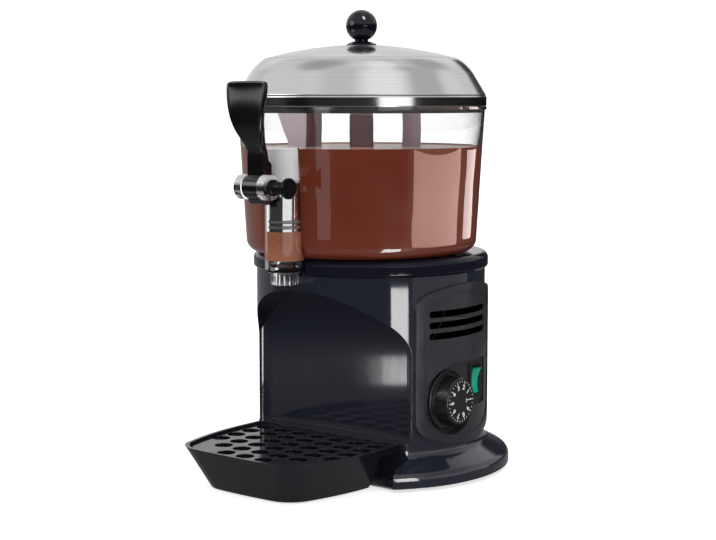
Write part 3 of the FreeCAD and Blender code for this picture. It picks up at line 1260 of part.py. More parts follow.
bulb_z = bath_floor_z - 4
terminal_top_z = base_top_z + 17
keep(rod("bulb_piece", 3, 44, 56, -18, bulb_z, "Y"), "thermostat_bulb")
tube("thermostat_capillary", [
    (82, dial_y + 6, dial_z + 6), (72, dial_y + 6, dial_z + 6), (66, 22, dial_z + 45),
    (70, 46, 150), (62, 52, bulb_z - 8), (56, 40, bulb_z), (56, 26, bulb_z)], as_size(1))
tube("switch_lead", [
    (76, switch_y, switch_z - 7), (66, switch_y, switch_z - 7), (52, 62, 60), (36, 74, 42),
    (14, 81, 34), (14, 81, terminal_top_z)], as_size(1.6))
tube("motor_lead", [
    (0, motor_back, motor_foot_z), (0, motor_back, motor_foot_z - 14),
    (-8, 46, 58), (-16, 66, 48), (-20, 81, 34), (-20, 81, terminal_top_z)], as_size(1.6))
tube("heater_lead", [
    (-element_leg_x, leg_y, leg_foot_z), (-element_leg_x, leg_y, leg_foot_z - 12),
    (-16, 80, 140), (-14, 86, 110), (-10, 88, 80), (-4, 84, 50), (0, 81, 34),
    (0, 81, terminal_top_z)], as_size(1.6))


# ---------------------------------------------------------------- check and write

doc.recompute()
problems = [f"{thing.Name}: {thing.State}" for thing in doc.Objects
            if "Invalid" in thing.State or "Error" in thing.State]
for thing in subparts:
    if thing.Shape.isNull() or not thing.Shape.isValid() or not thing.Shape.Solids:
        problems.append(f"{thing.Label} has no valid solid")
if problems:
    raise SystemExit("not written: " + "; ".join(problems))
for thing in subparts:
    thing.Shape.exportStep(f"parts/{thing.Label}.step")
    print(f"{thing.Label:24s} {len(thing.Shape.Solids):2d} solid(s) {thing.Shape.Volume / 1000:9.2f} cm3")
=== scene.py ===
import math

import bmesh
import bpy
from mathutils import Matrix, Vector


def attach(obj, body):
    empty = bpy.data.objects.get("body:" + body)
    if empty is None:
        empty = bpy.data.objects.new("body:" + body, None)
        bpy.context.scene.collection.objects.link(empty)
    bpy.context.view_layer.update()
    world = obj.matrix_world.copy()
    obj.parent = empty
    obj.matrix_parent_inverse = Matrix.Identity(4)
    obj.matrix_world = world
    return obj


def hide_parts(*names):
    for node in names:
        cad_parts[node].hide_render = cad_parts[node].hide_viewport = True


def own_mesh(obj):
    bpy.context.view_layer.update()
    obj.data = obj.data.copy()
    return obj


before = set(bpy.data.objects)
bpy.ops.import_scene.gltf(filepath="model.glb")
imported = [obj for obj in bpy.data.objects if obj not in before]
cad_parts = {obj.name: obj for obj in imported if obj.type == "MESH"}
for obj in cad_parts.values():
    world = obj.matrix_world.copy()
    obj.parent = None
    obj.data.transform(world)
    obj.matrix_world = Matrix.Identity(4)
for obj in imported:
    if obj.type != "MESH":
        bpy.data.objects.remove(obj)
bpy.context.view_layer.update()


# ---------------------------------------------------------------- body shell
# The round body with its flared foot and arched cup niche is one injection moulding in glossy
# blue-black plastic. It stands on the base plate, and four screws come up into its bosses.

mm = 0.001
weld_distance = 0.002 * mm


class Finish:
    """A material: one Principled shader and the nodes that feed its sockets."""

    def __init__(self, name, colour, roughness, **sockets):
        self.material = bpy.data.materials.new(name)
        self.material.use_nodes = True
        self.tree = self.material.node_tree
        self.shader = self.tree.nodes["Principled BSDF"]
        self.fill(self.shader, Base_Color=(*colour, 1), Roughness=roughness, **sockets)

    def fill(self, node, **sockets):
        """Sets or links sockets, named with _ for a space, or by number after a _."""
        for name, value in sockets.items():
            socket = node.inputs[int(name[1:]) if name[0] == "_" else name.replace("_", " ")]
            if isinstance(value, bpy.types.NodeSocket):
                self.tree.links.new(value, socket)
            else:
                socket.default_value = value
        return node

    def add(self, kind, **sockets):
        return self.fill(self.tree.nodes.new(f"ShaderNode{kind}"), **sockets)

    def spots(self, centre=(0, 0, 0), stretch=(1, 1, 1), turn=(0, 0, 0)):
        """Places on the piece, measured from a centre, in steps that are longer where stretched."""
        mapping = self.add("Mapping", Vector=self.add("TexCoord").outputs["Object"],
                           Location=centre, Rotation=turn, Scale=stretch)
        mapping.vector_type = "TEXTURE"
        return mapping.outputs[0]

    def noise(self, scale, detail=2, where=None):
        return self.add("TexNoise", Scale=scale, Detail=detail, Roughness=0.5,
                        Vector=where or self.spots()).outputs[0]

    def span(self, value, low, high, start=0.3, end=0.7):
        return self.add("MapRange", _0=value, _1=start, _2=end, _3=low, _4=high).outputs[0]

    def between(self, share, first, second):
        node = self.tree.nodes.new("ShaderNodeMix")
        node.data_type = "RGBA"
        ends = [end if isinstance(end, bpy.types.NodeSocket) else (*end, 1) for end in (first, second)]
        return self.fill(node, _0=share, _6=ends[0], _7=ends[1]).outputs[2]

    def calculate(self, operation, *values):
        node = self.tree.nodes.new("ShaderNodeMath")
        node.operation = operation
        return self.fill(node, **{f"_{i}": value for i, value in enumerate(values)}).outputs[0]

    def soft_edges(self, radius):
        """A normal that rounds crisp edges off, as a tool and polishing leave them."""
        node = self.add("Bevel", Radius=radius)
        node.samples = 5
        return node.outputs[0]

    def relief(self, height, depth, normal=None):
        """Raises the surface by a height pattern, depth metres deep."""
        node = self.add("Bump", Strength=1.0, Distance=depth, Height=height)
        if normal:
            self.fill(node, Normal=normal)
        self.fill(self.shader, Normal=node.outputs[0])

    def varied(self, **sockets):
        """Feeds the Principled shader's own sockets."""
        self.fill(self.shader, **sockets)


def gloss_moulding(name, colour, roughness, edge, **sockets):
    """Polished mould plastic: nearly even gloss, with faint flow in the surface."""
    finish = Finish(name, colour, roughness, **sockets)
    finish.varied(Roughness=finish.span(finish.noise(16, 3), roughness * 0.8, roughness * 1.5))
    finish.relief(finish.noise(120, 2), 0.008 * mm, finish.soft_edges(edge) if edge else None)
    return finish


def stand_in(name, node, body, slot, finish, crisp=26):
    """A welded copy of a node's own mesh, shaded smooth up to its crisp edges, in its place."""
    shape = bmesh.new()
    shape.from_mesh(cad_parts[node].data)
    bmesh.ops.remove_doubles(shape, verts=shape.verts, dist=weld_distance)
    return finished(name, shape, body, slot, finish, crisp, node)


def finished(name, shape, body, slot, finish, crisp=26, *nodes):
    """Makes the object of a bmesh: crisp edges, material and body, and hides the nodes it stands for. The slot
    is not used.
    """
    shape.normal_update()
    for face in shape.faces:
        face.smooth = True
    for edge in shape.edges:
        edge.smooth = len(edge.link_faces) == 2 and edge.calc_face_angle(4) < math.radians(crisp)
    mesh = bpy.data.meshes.new(name)
    shape.to_mesh(mesh)
    shape.free()
    mesh.materials.append(finish.material)
    piece = bpy.data.objects.new(name, mesh)
    bpy.context.collection.objects.link(piece)
    even = piece.modifiers.new("even_shading", "WEIGHTED_NORMAL")
    even.keep_sharp = True
    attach(piece, body)
    if nodes:
        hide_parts(*nodes)
    return piece


shell_gloss = gloss_moulding("shell_gloss", (0.0150, 0.0165, 0.0265), 0.07, 0.5 * mm,
                             Specular_IOR_Level=0.5)
stand_in("shell", "body_shell", "machine", "dark_shell", shell_gloss)


# ---------------------------------------------------------------- base plate, feet and screws
# A disc of zinc-plated sheet steel closes the body below. Four rubber feet are plugged into it,
# and four cross-head screws hold it to the shell. A hollow plastic block on it carries the tray.

def zinc_plate(name, colour, roughness):
    """Zinc-plated steel: small dull and bright crystals and faint scuffs."""
    finish = Finish(name, colour, roughness, Metallic=1.0)
    crystal = finish.add("TexVoronoi", Scale=260.0, Vector=finish.spots()).outputs["Color"]
    grey = finish.between(crystal, [c * 0.86 for c in colour], [min(c * 1.1, 1) for c in colour])
    scuff = finish.noise(90, 4, finish.spots(stretch=(1, 6, 1)))
    finish.varied(Base_Color=grey, Roughness=finish.span(scuff, roughness * 0.8, roughness * 1.4))
    finish.relief(scuff, 0.01 * mm)
    return finish


def rubber(name, colour, roughness):
    """Moulded rubber: matt, finely pitted, paler where it is rubbed."""
    finish = Finish(name, colour, roughness, Specular_IOR_Level=0.35)
    bloom = finish.noise(60, 4)
    finish.varied(Base_Color=finish.between(finish.span(bloom, 0.0, 1.0), colour, [c * 1.7 for c in colour]),
                  Roughness=finish.span(bloom, roughness * 0.85, min(roughness * 1.15, 1.0)))
    finish.relief(finish.noise(1500, 2), 0.03 * mm)
    return finish


sheet_zinc = zinc_plate("sheet_zinc", (0.52, 0.53, 0.54), 0.34)
foot_rubber = rubber("foot_rubber", (0.020, 0.020, 0.021), 0.72)
inner_black = gloss_moulding("inner_black", (0.014, 0.014, 0.016), 0.3, 0.3 * mm)
stand_in("base_sheet", "base_plate", "machine", "plated_steel", sheet_zinc)
stand_in("rubber_feet", "feet", "machine", "rubber", foot_rubber)
stand_in("base_fixings", "base_screws", "machine", "plated_steel", sheet_zinc)
stand_in("tray_block", "tray_support", "machine", "dark_trim", inner_black)


# ---------------------------------------------------------------- collar
# The ring on top of the body, moulded in the same glossy plastic with a well rounded outer edge.
# Its spigot sits inside the shell, and it carries the water bath, the drive and the bowl.

collar_gloss = gloss_moulding("collar_gloss", (0.0070, 0.0075, 0.0135), 0.08, 0.5 * mm,
                              Specular_IOR_Level=0.16)
stand_in("collar", "top_collar", "machine", "dark_shell", collar_gloss)
stand_in("collar_fixings", "collar_screws", "machine", "plated_steel", sheet_zinc)


# ---------------------------------------------------------------- control panel
# A curved panel in a satin, slightly paler plastic, set on the shell's +X side. It has a raised
# border, three louvre slots, and a sunken well for the dial and the switch.

panel_satin = Finish("panel_satin", (0.0230, 0.0235, 0.0290), 0.3, Specular_IOR_Level=0.3)
panel_satin.varied(Roughness=panel_satin.span(panel_satin.noise(25, 3), 0.24, 0.36))
panel_satin.relief(panel_satin.noise(2600, 2), 0.012 * mm, panel_satin.soft_edges(0.6 * mm))
stand_in("panel", "control_panel", "machine", "dark_panel", panel_satin)


# ---------------------------------------------------------------- thermostat and its dial
# The thermostat is a closed unit behind the panel; a thin tube in a black sleeve joins it to a
# copper bulb under the water bath. Its brass shaft carries a ribbed black dial, and the dial's
# numbers are printed in white.

def machined_brass(name, colour, roughness):
    """Turned brass: fine tool rings and slight tarnish."""
    finish = Finish(name, colour, roughness, Metallic=1.0)
    tarnish = finish.noise(70, 4)
    finish.varied(Base_Color=finish.between(finish.span(tarnish, 0, 1), colour, [c * 0.72 for c in colour]),
                  Roughness=finish.span(tarnish, roughness, roughness * 1.5))
    finish.relief(finish.noise(1800, 1, finish.spots(stretch=(12, 12, 1))), 0.006 * mm)
    return finish


def white_moulding(name, colour, roughness):
    """Plain pale plastic, a little translucent, with a faint grain."""
    finish = Finish(name, colour, roughness, Specular_IOR_Level=0.45)
    tone = finish.noise(30, 3)
    finish.varied(Base_Color=finish.between(finish.span(tone, 0, 1), colour, [c * 0.93 for c in colour]),
                  Roughness=finish.span(tone, roughness * 0.85, roughness * 1.2))
    finish.relief(finish.noise(1600, 2), 0.012 * mm)
    return finish


drawn_brass = machined_brass("drawn_brass", (0.62, 0.43, 0.17), 0.26)
drawn_copper = machined_brass("drawn_copper", (0.64, 0.30, 0.17), 0.3)
unit_white = white_moulding("unit_white", (0.72, 0.71, 0.67), 0.4)
dial_black = gloss_moulding("dial_black", (0.0085, 0.0085, 0.010), 0.2, 0.35 * mm,
                            Specular_IOR_Level=0.42)
stand_in("thermostat_unit", "thermostat_body", "machine", "white_plastic", unit_white)
stand_in("capillary", "thermostat_capillary", "machine", "rubber", foot_rubber)
stand_in("bulb", "thermostat_bulb", "machine", "copper_tube", drawn_copper)
stand_in("dial_shaft", "thermostat_shaft", "dial", "brass", drawn_brass)
stand_in("dial", "thermostat_knob", "dial", "dark_trim", dial_black)

print_white = Finish("print_white", (0.78, 0.78, 0.78), 0.45)
print_white.varied(Base_Color=print_white.between(
    print_white.span(print_white.noise(900, 3), 0, 1), (0.86, 0.86, 0.86), (0.62, 0.62, 0.63)))
print_white.relief(print_white.noise(2500, 2), 0.01 * mm)
dial_face = Matrix.Translation((123.02 * mm, 14.25 * mm, 77.5 * mm)) @ Matrix(
    ((0, 0, 1, 0), (1, 0, 0, 0), (0, 1, 0, 0), (0, 0, 0, 1)))
print_thickness = 0.05 * mm
figure_height = 6.6 * mm
figure_circle = 13.6 * mm
tick_end = 19.6
pointer_start = 8.5
dial_print = bmesh.new()


def numeral(text, height):
    """A printed figure, centred, standing print_thickness off the XY plane."""
    outline = bpy.data.curves.new("figure", "FONT")
    outline.body = text
    outline.size = height
    outline.offset = height * 0.035
    outline.extrude = print_thickness / 2
    outline.resolution_u = 3
    outline.align_x, outline.align_y = "CENTER", "CENTER"
    holder = bpy.data.objects.new("figure", outline)
    bpy.context.collection.objects.link(holder)
    bpy.context.view_layer.update()
    mesh = bpy.data.meshes.new_from_object(holder.evaluated_get(bpy.context.evaluated_depsgraph_get()))
    bpy.data.objects.remove(holder)
    return mesh


for place in range(10):
    turn = Matrix.Rotation(math.radians(36 * place), 4, "Z")
    if place:
        figure = numeral(str(place), figure_height)
        figure.transform(dial_face @ turn @ Matrix.Translation((figure_circle, 0, 0))
                         @ Matrix.Rotation(math.radians(-90), 4, "Z"))
        dial_print.from_mesh(figure)
        bpy.data.meshes.remove(figure)
    for step, length in ((0, 2.4), (12, 1.4), (24, 1.4)):
        spoke = Matrix.Rotation(math.radians(36 * place + step), 4, "Z")
        inner = tick_end - length if place or step else pointer_start
        tick = Matrix.Translation(((inner + tick_end) / 2 * mm, 0, 0)) @ Matrix.Diagonal(
            ((tick_end - inner) * mm, (0.55 if step else 0.8) * mm, print_thickness, 1))
        bmesh.ops.create_cube(dial_print, size=1, matrix=dial_face @ spoke @ tick)
bmesh.ops.create_cube(dial_print, size=1, matrix=dial_face @ Matrix.Translation(
    (pointer_start * mm, 0, 0)) @ Matrix.Diagonal((0.7 * mm, 4.4 * mm, print_thickness, 1)))
finished("dial_figures", dial_print, "dial", "white_plastic", print_white)


# ---------------------------------------------------------------- power switch
# A snap-in rocker switch: black frame with a well, and a rocker in green translucent plastic that
# tilts in it. Two blade terminals stand out behind.

rocker_green = Finish("rocker_green", (0.0, 0.32, 0.20), 0.2, Specular_IOR_Level=0.4)
glow = rocker_green.noise(45, 2)
rocker_green.varied(Base_Color=rocker_green.between(
    rocker_green.span(glow, 0, 1), (0.0, 0.27, 0.165), (0.005, 0.42, 0.28)))
rocker_green.relief(rocker_green.noise(300, 2), 0.006 * mm, rocker_green.soft_edges(0.8 * mm))
stand_in("switch_frame", "switch_housing", "machine", "dark_trim", dial_black)
stand_in("rocker", "power_rocker", "rocker", "green_plastic", rocker_green)


# ---------------------------------------------------------------- water bath and heater
# A pan of thin stainless steel hangs in the collar under the bowl, filled with water by the user.
# A sheathed heating ring stands in it on two legs, held in brass glands. A rubber ring seals the
# bath against the bowl.

def stainless(name, colour, roughness, stretch):
    """Rolled stainless steel: long faint grain that blurs reflections one way."""
    finish = Finish(name, colour, roughness, Metallic=1.0)
    grain = finish.noise(700, 3, finish.spots(stretch=stretch))
    finish.varied(Base_Color=finish.between(finish.span(grain, 0, 1), colour, [c * 0.9 for c in colour]),
                  Roughness=finish.span(grain, roughness * 0.8, roughness * 1.35))
    finish.relief(grain, 0.004 * mm)
    return finish


pan_steel = stainless("pan_steel", (0.60, 0.60, 0.60), 0.26, (10, 1, 1))
element_steel = stainless("element_steel", (0.42, 0.38, 0.33), 0.34, (1, 1, 6))
stand_in("bath", "water_bath", "machine", "steel", pan_steel)
stand_in("gasket", "bowl_gasket", "machine", "rubber", foot_rubber)
stand_in("element", "heating_element", "machine", "steel", element_steel)
stand_in("leg_glands", "element_glands", "machine", "brass", drawn_brass)
stand_in("cutout", "safety_thermostat", "machine", "white_plastic", unit_white)


# ---------------------------------------------------------------- motor, gearbox and drive shaft
# A steel bracket hangs from the collar on four posts. The cast gearbox is screwed under it with
# the painted motor below, and the shaft runs up through a bronze bush and the bowl's column.

cast_alloy = Finish("cast_alloy", (0.50, 0.51, 0.52), 0.5, Metallic=1.0)
pits = cast_alloy.noise(420, 4)
cast_alloy.varied(Roughness=cast_alloy.span(pits, 0.42, 0.66))
cast_alloy.relief(pits, 0.05 * mm)
motor_enamel = Finish("motor_enamel", (0.045, 0.047, 0.052), 0.36, Coat_Weight=0.3)
enamel_skin = motor_enamel.noise(330, 3)
motor_enamel.varied(Roughness=motor_enamel.span(enamel_skin, 0.28, 0.46))
motor_enamel.relief(enamel_skin, 0.02 * mm)
shaft_steel = stainless("shaft_steel", (0.56, 0.56, 0.57), 0.2, (1, 1, 0.1))
stand_in("bracket", "motor_bracket", "machine", "plated_steel", sheet_zinc)
stand_in("posts", "bracket_posts", "machine", "plated_steel", sheet_zinc)
stand_in("bracket_fixings", "bracket_screws", "machine", "plated_steel", sheet_zinc)
stand_in("gear_case", "gearbox", "machine", "gear_alloy", cast_alloy)
stand_in("gear_fixings", "gearbox_screws", "machine", "plated_steel", sheet_zinc)
stand_in("drive_motor", "motor", "machine", "motor_paint", motor_enamel)
stand_in("bush", "shaft_bush", "machine", "brass", drawn_brass)
stand_in("drive_rod", "drive_shaft", "shaft", "steel", shaft_steel)


# ---------------------------------------------------------------- bowl
# One clear moulding in polycarbonate: a nearly upright wall with a small lip, a flat floor and a
# hollow column for the shaft. It rests on the gasket and lifts off; a plastic bush tops the column.

def clear_moulding(name, tint, roughness):
    """Clear plastic that lets light through to what is behind it, with faint waves from moulding."""
    finish = Finish(name, tint, roughness, IOR=1.5, Transmission_Weight=1.0)
    finish.relief(finish.noise(40, 1), 0.02 * mm)
    through = finish.add("BsdfTransparent", Color=(0.93, 0.93, 0.93, 1))
    rays = finish.add("LightPath")
    straight = finish.calculate("MAXIMUM", rays.outputs["Is Shadow Ray"], rays.outputs["Is Diffuse Ray"])
    lit = finish.add("MixShader", _0=straight, _1=finish.shader.outputs[0], _2=through.outputs[0])
    finish.fill(finish.tree.nodes["Material Output"], Surface=lit.outputs[0])
    return finish


axis_y = 17.75 * mm
bowl_clear = clear_moulding("bowl_clear", (0.985, 0.985, 0.985), 0.0)
bush_white = white_moulding("bush_white", (0.62, 0.60, 0.58), 0.35)
stand_in("clear_bowl", "bowl", "bowl", "clear", bowl_clear)
stand_in("top_bush", "column_bush", "bowl", "white_plastic", bush_white)


# ---------------------------------------------------------------- the chocolate
# Thick drinking chocolate fills the bowl to two thirds, wets the walls with a small meniscus,
# and stands in the tap's chamber. A few bubbles from the stirrer lie on it.

tap_y = -96.75 * mm
tap_space_radius = 18.05 * mm
level_z = 314.5 * mm
chocolate = Finish("chocolate", (0.148, 0.0255, 0.0105), 0.2, Specular_IOR_Level=0.3)
cloud = chocolate.noise(9, 4, chocolate.spots(stretch=(1, 1, 0.6)))
chocolate.varied(
    Base_Color=chocolate.between(chocolate.span(cloud, 0, 1), (0.135, 0.0215, 0.0085), (0.161, 0.0300, 0.0125)),
    Roughness=chocolate.span(chocolate.noise(30, 3), 0.16, 0.26))
chocolate.relief(chocolate.noise(22, 2, chocolate.spots((0, axis_y, 0), (1, 1, 4))), 0.25 * mm)


def turned_solid(outline, centre_y, rounding=(), steps=128):
    """Spins an outline of (radius, height) in mm about an upright axis. Corners named in rounding,
    as {place: radius}, are rounded first."""
    shape = bmesh.new()
    corners = [shape.verts.new((r * mm, centre_y, z * mm)) for r, z in outline]
    for first, second in zip(corners, corners[1:]):
        shape.edges.new((first, second))
    for place, radius in dict(rounding).items():
        bmesh.ops.bevel(shape, geom=[corners[place]], offset=radius * mm, offset_type="OFFSET",
                        segments=8, profile=0.5, affect="VERTICES", material=-1)
    if outline[0][0] > 0 and outline[-1][0] > 0:
        ends = [v for v in shape.verts if len(v.link_edges) == 1]
        shape.edges.new(ends)
    bmesh.ops.spin(shape, geom=shape.verts[:] + shape.edges[:], cent=(0, centre_y, 0), axis=(0, 0, 1),
                   angle=2 * math.pi, steps=steps, use_merge=True)
    bmesh.ops.remove_doubles(shape, verts=shape.verts, dist=weld_distance)
    bmesh.ops.recalc_face_normals(shape, faces=shape.faces)
    return shape


def cut_away(piece, tool):
    """Takes the tool's shape out of the piece for good."""
    taking = piece.modifiers.new("taking", "BOOLEAN")
    taking.object = tool
    taking.solver = "EXACT"
    piece.modifiers.move(len(piece.modifiers) - 1, 0)
    even = piece.modifiers["even_shading"]
    even.show_viewport = False
    bpy.context.view_layer.update()
    mesh = bpy.data.meshes.new_from_object(piece.evaluated_get(bpy.context.evaluated_depsgraph_get()))
    piece.modifiers.remove(taking)
    even.show_viewport = True
    piece.data = mesh
    bpy.data.objects.remove(tool)


def clear_of_tap(piece):
    """Takes the tap tube's space out of a body of drink."""
    space = bmesh.new()
    bmesh.ops.create_cone(space, cap_ends=True, segments=96, radius1=tap_space_radius,
                          radius2=tap_space_radius, depth=140 * mm,
                          matrix=Matrix.Translation((0, tap_y, 270 * mm)))
    cut_away(piece, finished("tube_space", space, "bowl", "clear", chocolate))


clear_of_tap(finished("chocolate_fill", turned_solid([
    (12.3, 216.9), (109.41, 216.9), (115.22, 316.0), (114.2, 315.3), (112.6, 314.75), (110.0, 314.5),
    (16.5, 314.5), (14.0, 314.8), (12.4, 315.5), (11.0, 316.8)], axis_y, {1: 9}),
    "bowl", "stirrer_plastic", chocolate, 40))
thin_chocolate = Finish("thin_chocolate", (0.30, 0.105, 0.060), 0.2, Specular_IOR_Level=0.3)
thin_chocolate.varied(Base_Color=thin_chocolate.between(
    thin_chocolate.span(thin_chocolate.noise(60, 3), 0, 1), (0.26, 0.088, 0.048), (0.35, 0.135, 0.080)))
thin_chocolate.relief(thin_chocolate.noise(90, 2), 0.1 * mm)
finished("chocolate_in_tap", turned_solid([
    (9.4, 212.85), (15.62, 212.85), (15.62, 239.7), (14.6, 239.2), (9.4, 239.0)], tap_y, (), 64),
    "bowl", "stirrer_plastic", thin_chocolate, 40)

# The top layer is painted far paler than the chocolate: painted sheen, for the light the liquid's surface
# mirrors.
painted_sheen = Finish("chocolate_painted_sheen", (0.58, 0.42, 0.37), 0.1, Specular_IOR_Level=1.0)
sheen_noise = painted_sheen.noise(14, 4, painted_sheen.spots((0, axis_y, 0)))
painted_sheen.varied(Base_Color=painted_sheen.between(painted_sheen.span(sheen_noise, 0, 1), (0.53, 0.37, 0.32), (0.66, 0.50, 0.45)))
painted_sheen.relief(sheen_noise, 0.12 * mm)
clear_of_tap(finished("chocolate_surface", turned_solid([
    (13.6, 314.6), (110.0, 314.4), (112.9, 314.6), (113.9, 315.25), (112.3, 314.95), (110.0, 314.75),
    (16.5, 314.75), (14.2, 315.0)], axis_y), "bowl", "stirrer_plastic", painted_sheen, 40))
milky = white_moulding("milky_film", (0.13, 0.085, 0.090), 0.2)
finished("chocolate_film", turned_solid([
    (11.75, 315.2), (12.15, 315.2), (11.35, 345.6), (11.15, 345.9)], axis_y, (), 96),
    "bowl", "stirrer_plastic", milky, 40)

bubble_count = 46
tap_margin = 23 * mm
bubbles = bmesh.new()
seed = 7.0
for _ in range(bubble_count):
    seed = (seed * 997.13 + 31.7) % 1000.0
    angle = math.radians(seed * 0.36)
    reach = (107.5 + 6.0 * math.sin(seed)) * mm
    radius = (0.7 + 0.9 * math.cos(seed * 3) ** 2) * mm
    centre = Vector((reach * math.sin(angle), axis_y - reach * math.cos(angle), level_z))
    if (centre - Vector((0, tap_y, level_z))).length > tap_margin:
        bmesh.ops.create_icosphere(bubbles, subdivisions=2, radius=radius,
                                   matrix=Matrix.Translation(centre) @ Matrix.Diagonal((1, 1, 0.6, 1)))
finished("chocolate_bubbles", bubbles, "bowl", "stirrer_plastic", chocolate, 60)


# ---------------------------------------------------------------- stirrer
# A hub with two arms in grey-mauve food plastic sits on the shaft's hexagon. A wide folded paddle
# and a slim ribbed bar hang from the arms into the chocolate and keep it moving.

stirrer_satin = Finish("stirrer_satin", (0.25, 0.19, 0.23), 0.33, Specular_IOR_Level=0.45)
haze = stirrer_satin.noise(26, 3, stirrer_satin.spots(stretch=(1, 1, 3)))
stirrer_satin.varied(
    Base_Color=stirrer_satin.between(stirrer_satin.span(haze, 0, 1), (0.29, 0.23, 0.27), (0.19, 0.14, 0.17)),
    Roughness=stirrer_satin.span(haze, 0.26, 0.42))
stirrer_satin.relief(stirrer_satin.noise(900, 2), 0.012 * mm, stirrer_satin.soft_edges(0.4 * mm))
stand_in("stirrer_head", "stirrer_hub", "stirrer", "stirrer_plastic", stirrer_satin)
stirrer_turn = math.radians(38.5)
# Past the paddle's fold, nearer the axis, it is painted dark: painted shade. These two places along the arm
# bound it.
fold_shade_edge = -54.7 * mm, -53.2 * mm
# The paddle is a paler copy of the stirrer plastic: painted light, for light that comes through it from behind.
paddle_painted_light = Finish("paddle_painted_light", (0.53, 0.48, 0.51), 0.33, Specular_IOR_Level=0.45)
along = paddle_painted_light.add("SeparateXYZ", Vector=paddle_painted_light.spots(
    (0, axis_y, 0), turn=(0, 0, stirrer_turn))).outputs[0]
painted_fold_shade = paddle_painted_light.span(along, 0, 1, *fold_shade_edge)
paddle_painted_light.varied(Base_Color=paddle_painted_light.between(painted_fold_shade, (0.53, 0.48, 0.51), (0.095, 0.045, 0.050)))
paddle_painted_light.relief(paddle_painted_light.noise(900, 2), 0.012 * mm, paddle_painted_light.soft_edges(0.4 * mm))
stand_in("wide_paddle", "stirrer_paddle", "stirrer", "stirrer_plastic", paddle_painted_light)
stand_in("slim_bar", "stirrer_bar", "stirrer", "stirrer_plastic", stirrer_satin)


# ---------------------------------------------------------------- tap tube, nozzle and piston
# A clear tube half sunk in the bowl's wall is closed at the top and carries the two pivot ears.
# A fluted clear nozzle is screwed in below. A turned steel piston with grey rubber rings slides in
# the tube.

tap_clear = clear_moulding("tap_clear", (0.97, 0.975, 0.98), 0.0)
tube_clear = clear_moulding("tube_clear", (0.97, 0.975, 0.98), 0.0)
# Above these heights the tube is painted a whitish grey, half clear and duller: painted highlight, for glare on
# the upper tube.
painted_highlight_heights = 284 * mm, 289 * mm
up_tube = tube_clear.add("SeparateXYZ", Vector=tube_clear.spots()).outputs[2]
tube_clear.varied(
    Base_Color=tube_clear.between(
        tube_clear.span(up_tube, 0, 1, *painted_highlight_heights), (0.97, 0.975, 0.98), (0.86, 0.85, 0.86)),
    Transmission_Weight=tube_clear.span(up_tube, 1.0, 0.5, *painted_highlight_heights),
    Roughness=tube_clear.span(up_tube, 0.0, 0.18, *painted_highlight_heights))
piston_steel = stainless("piston_steel", (0.72, 0.72, 0.73), 0.09, (8, 8, 1))
ring_rubber = rubber("ring_rubber", (0.10, 0.095, 0.09), 0.5)
spring_steel = stainless("spring_steel", (0.58, 0.58, 0.58), 0.22, (1, 1, 1))
stand_in("tap_tube", "tap_body", "bowl", "clear", tube_clear)
stand_in("nozzle", "tap_nozzle", "bowl", "clear", tap_clear)
stand_in("piston", "tap_piston", "piston", "steel", piston_steel)
stand_in("seal_rings", "piston_rings", "piston", "seal_rubber", ring_rubber)
stand_in("foot_seal", "valve_seal", "piston", "seal_rubber", ring_rubber)
coil = stand_in("coil_spring", "tap_spring", "bowl", "steel", spring_steel, 60)
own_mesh(coil)


# ---------------------------------------------------------------- lever and its pin
# The tap lever is a glass-filled black moulding: a forked root with an inner arm that lifts the
# piston, and a broad dished paddle for the thumb. A pin with a round head holds it in the ears.

lever_black = Finish("lever_black", (0.0035, 0.0035, 0.0038), 0.17, Specular_IOR_Level=0.42)
lever_black.varied(Roughness=lever_black.span(lever_black.noise(40, 3), 0.14, 0.22))
lever_black.relief(lever_black.noise(1400, 2), 0.005 * mm, lever_black.soft_edges(0.5 * mm))
pivot = Vector((0, -134.25 * mm, 282.0 * mm))
cut_point, cut_direction = Vector((0, -2.2, 31.3)), (0, 0.6533, 0.7571)
root = bmesh.new()
root.from_mesh(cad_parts["tap_lever"].data)
bmesh.ops.remove_doubles(root, verts=root.verts, dist=weld_distance)
bmesh.ops.bisect_plane(root, geom=root.verts[:] + root.edges[:] + root.faces[:], dist=0.001 * mm,
                       plane_co=pivot + cut_point * mm, plane_no=cut_direction, clear_outer=True)
bmesh.ops.holes_fill(root, edges=[e for e in root.edges if len(e.link_faces) == 1], sides=0)
finished("lever_root", root, "lever", "lever_black", lever_black, 26, "tap_lever")

# The paddle's sections in mm from the pivot: height, front, back, half the width, dish.
paddle = bmesh.new()
sections = []
for z, front, back, half, dish in (
        (14, -1.3, 9.3, 8.4, 0), (24, -1.3, 9.4, 8.5, 0), (31, -2.3, 7.8, 8.6, 0), (38, -5.6, 3.4, 9.9, 0),
        (43, -8.4, 0.3, 12.4, 0.3), (48, -11.0, -2.4, 14.8, 0.8), (55, -13.9, -5.8, 17.3, 1),
        (63, -15.8, -8.4, 19.6, 1), (73, -16.0, -9.2, 22.0, 1), (83, -15.0, -8.8, 24.0, 1),
        (91, -14.1, -8.7, 24.6, 0.8), (93.6, -13.8, -8.7, 23.8, 0.15), (95.4, -13.2, -9.2, 21.2, 0)):
    thick = back - front
    across = [(-1, 0.35 * thick), (-0.96, 0.3), (-0.90, 0.0), (-0.84, 0.9 * dish), (-0.45, 1.35 * dish),
              (0, 1.5 * dish), (0.45, 1.35 * dish), (0.84, 0.9 * dish), (0.90, 0.0), (0.96, 0.3),
              (1, 0.35 * thick), (0.97, 0.85 * thick), (0.8, thick), (0.4, thick), (0, thick),
              (-0.4, thick), (-0.8, thick), (-0.97, 0.85 * thick)]
    ring = [paddle.verts.new(pivot + Vector((share * half, front + depth, z)) * mm)
            for share, depth in across]
    sections.append([paddle.edges.new(pair) for pair in zip(ring, ring[1:] + ring[:1])])
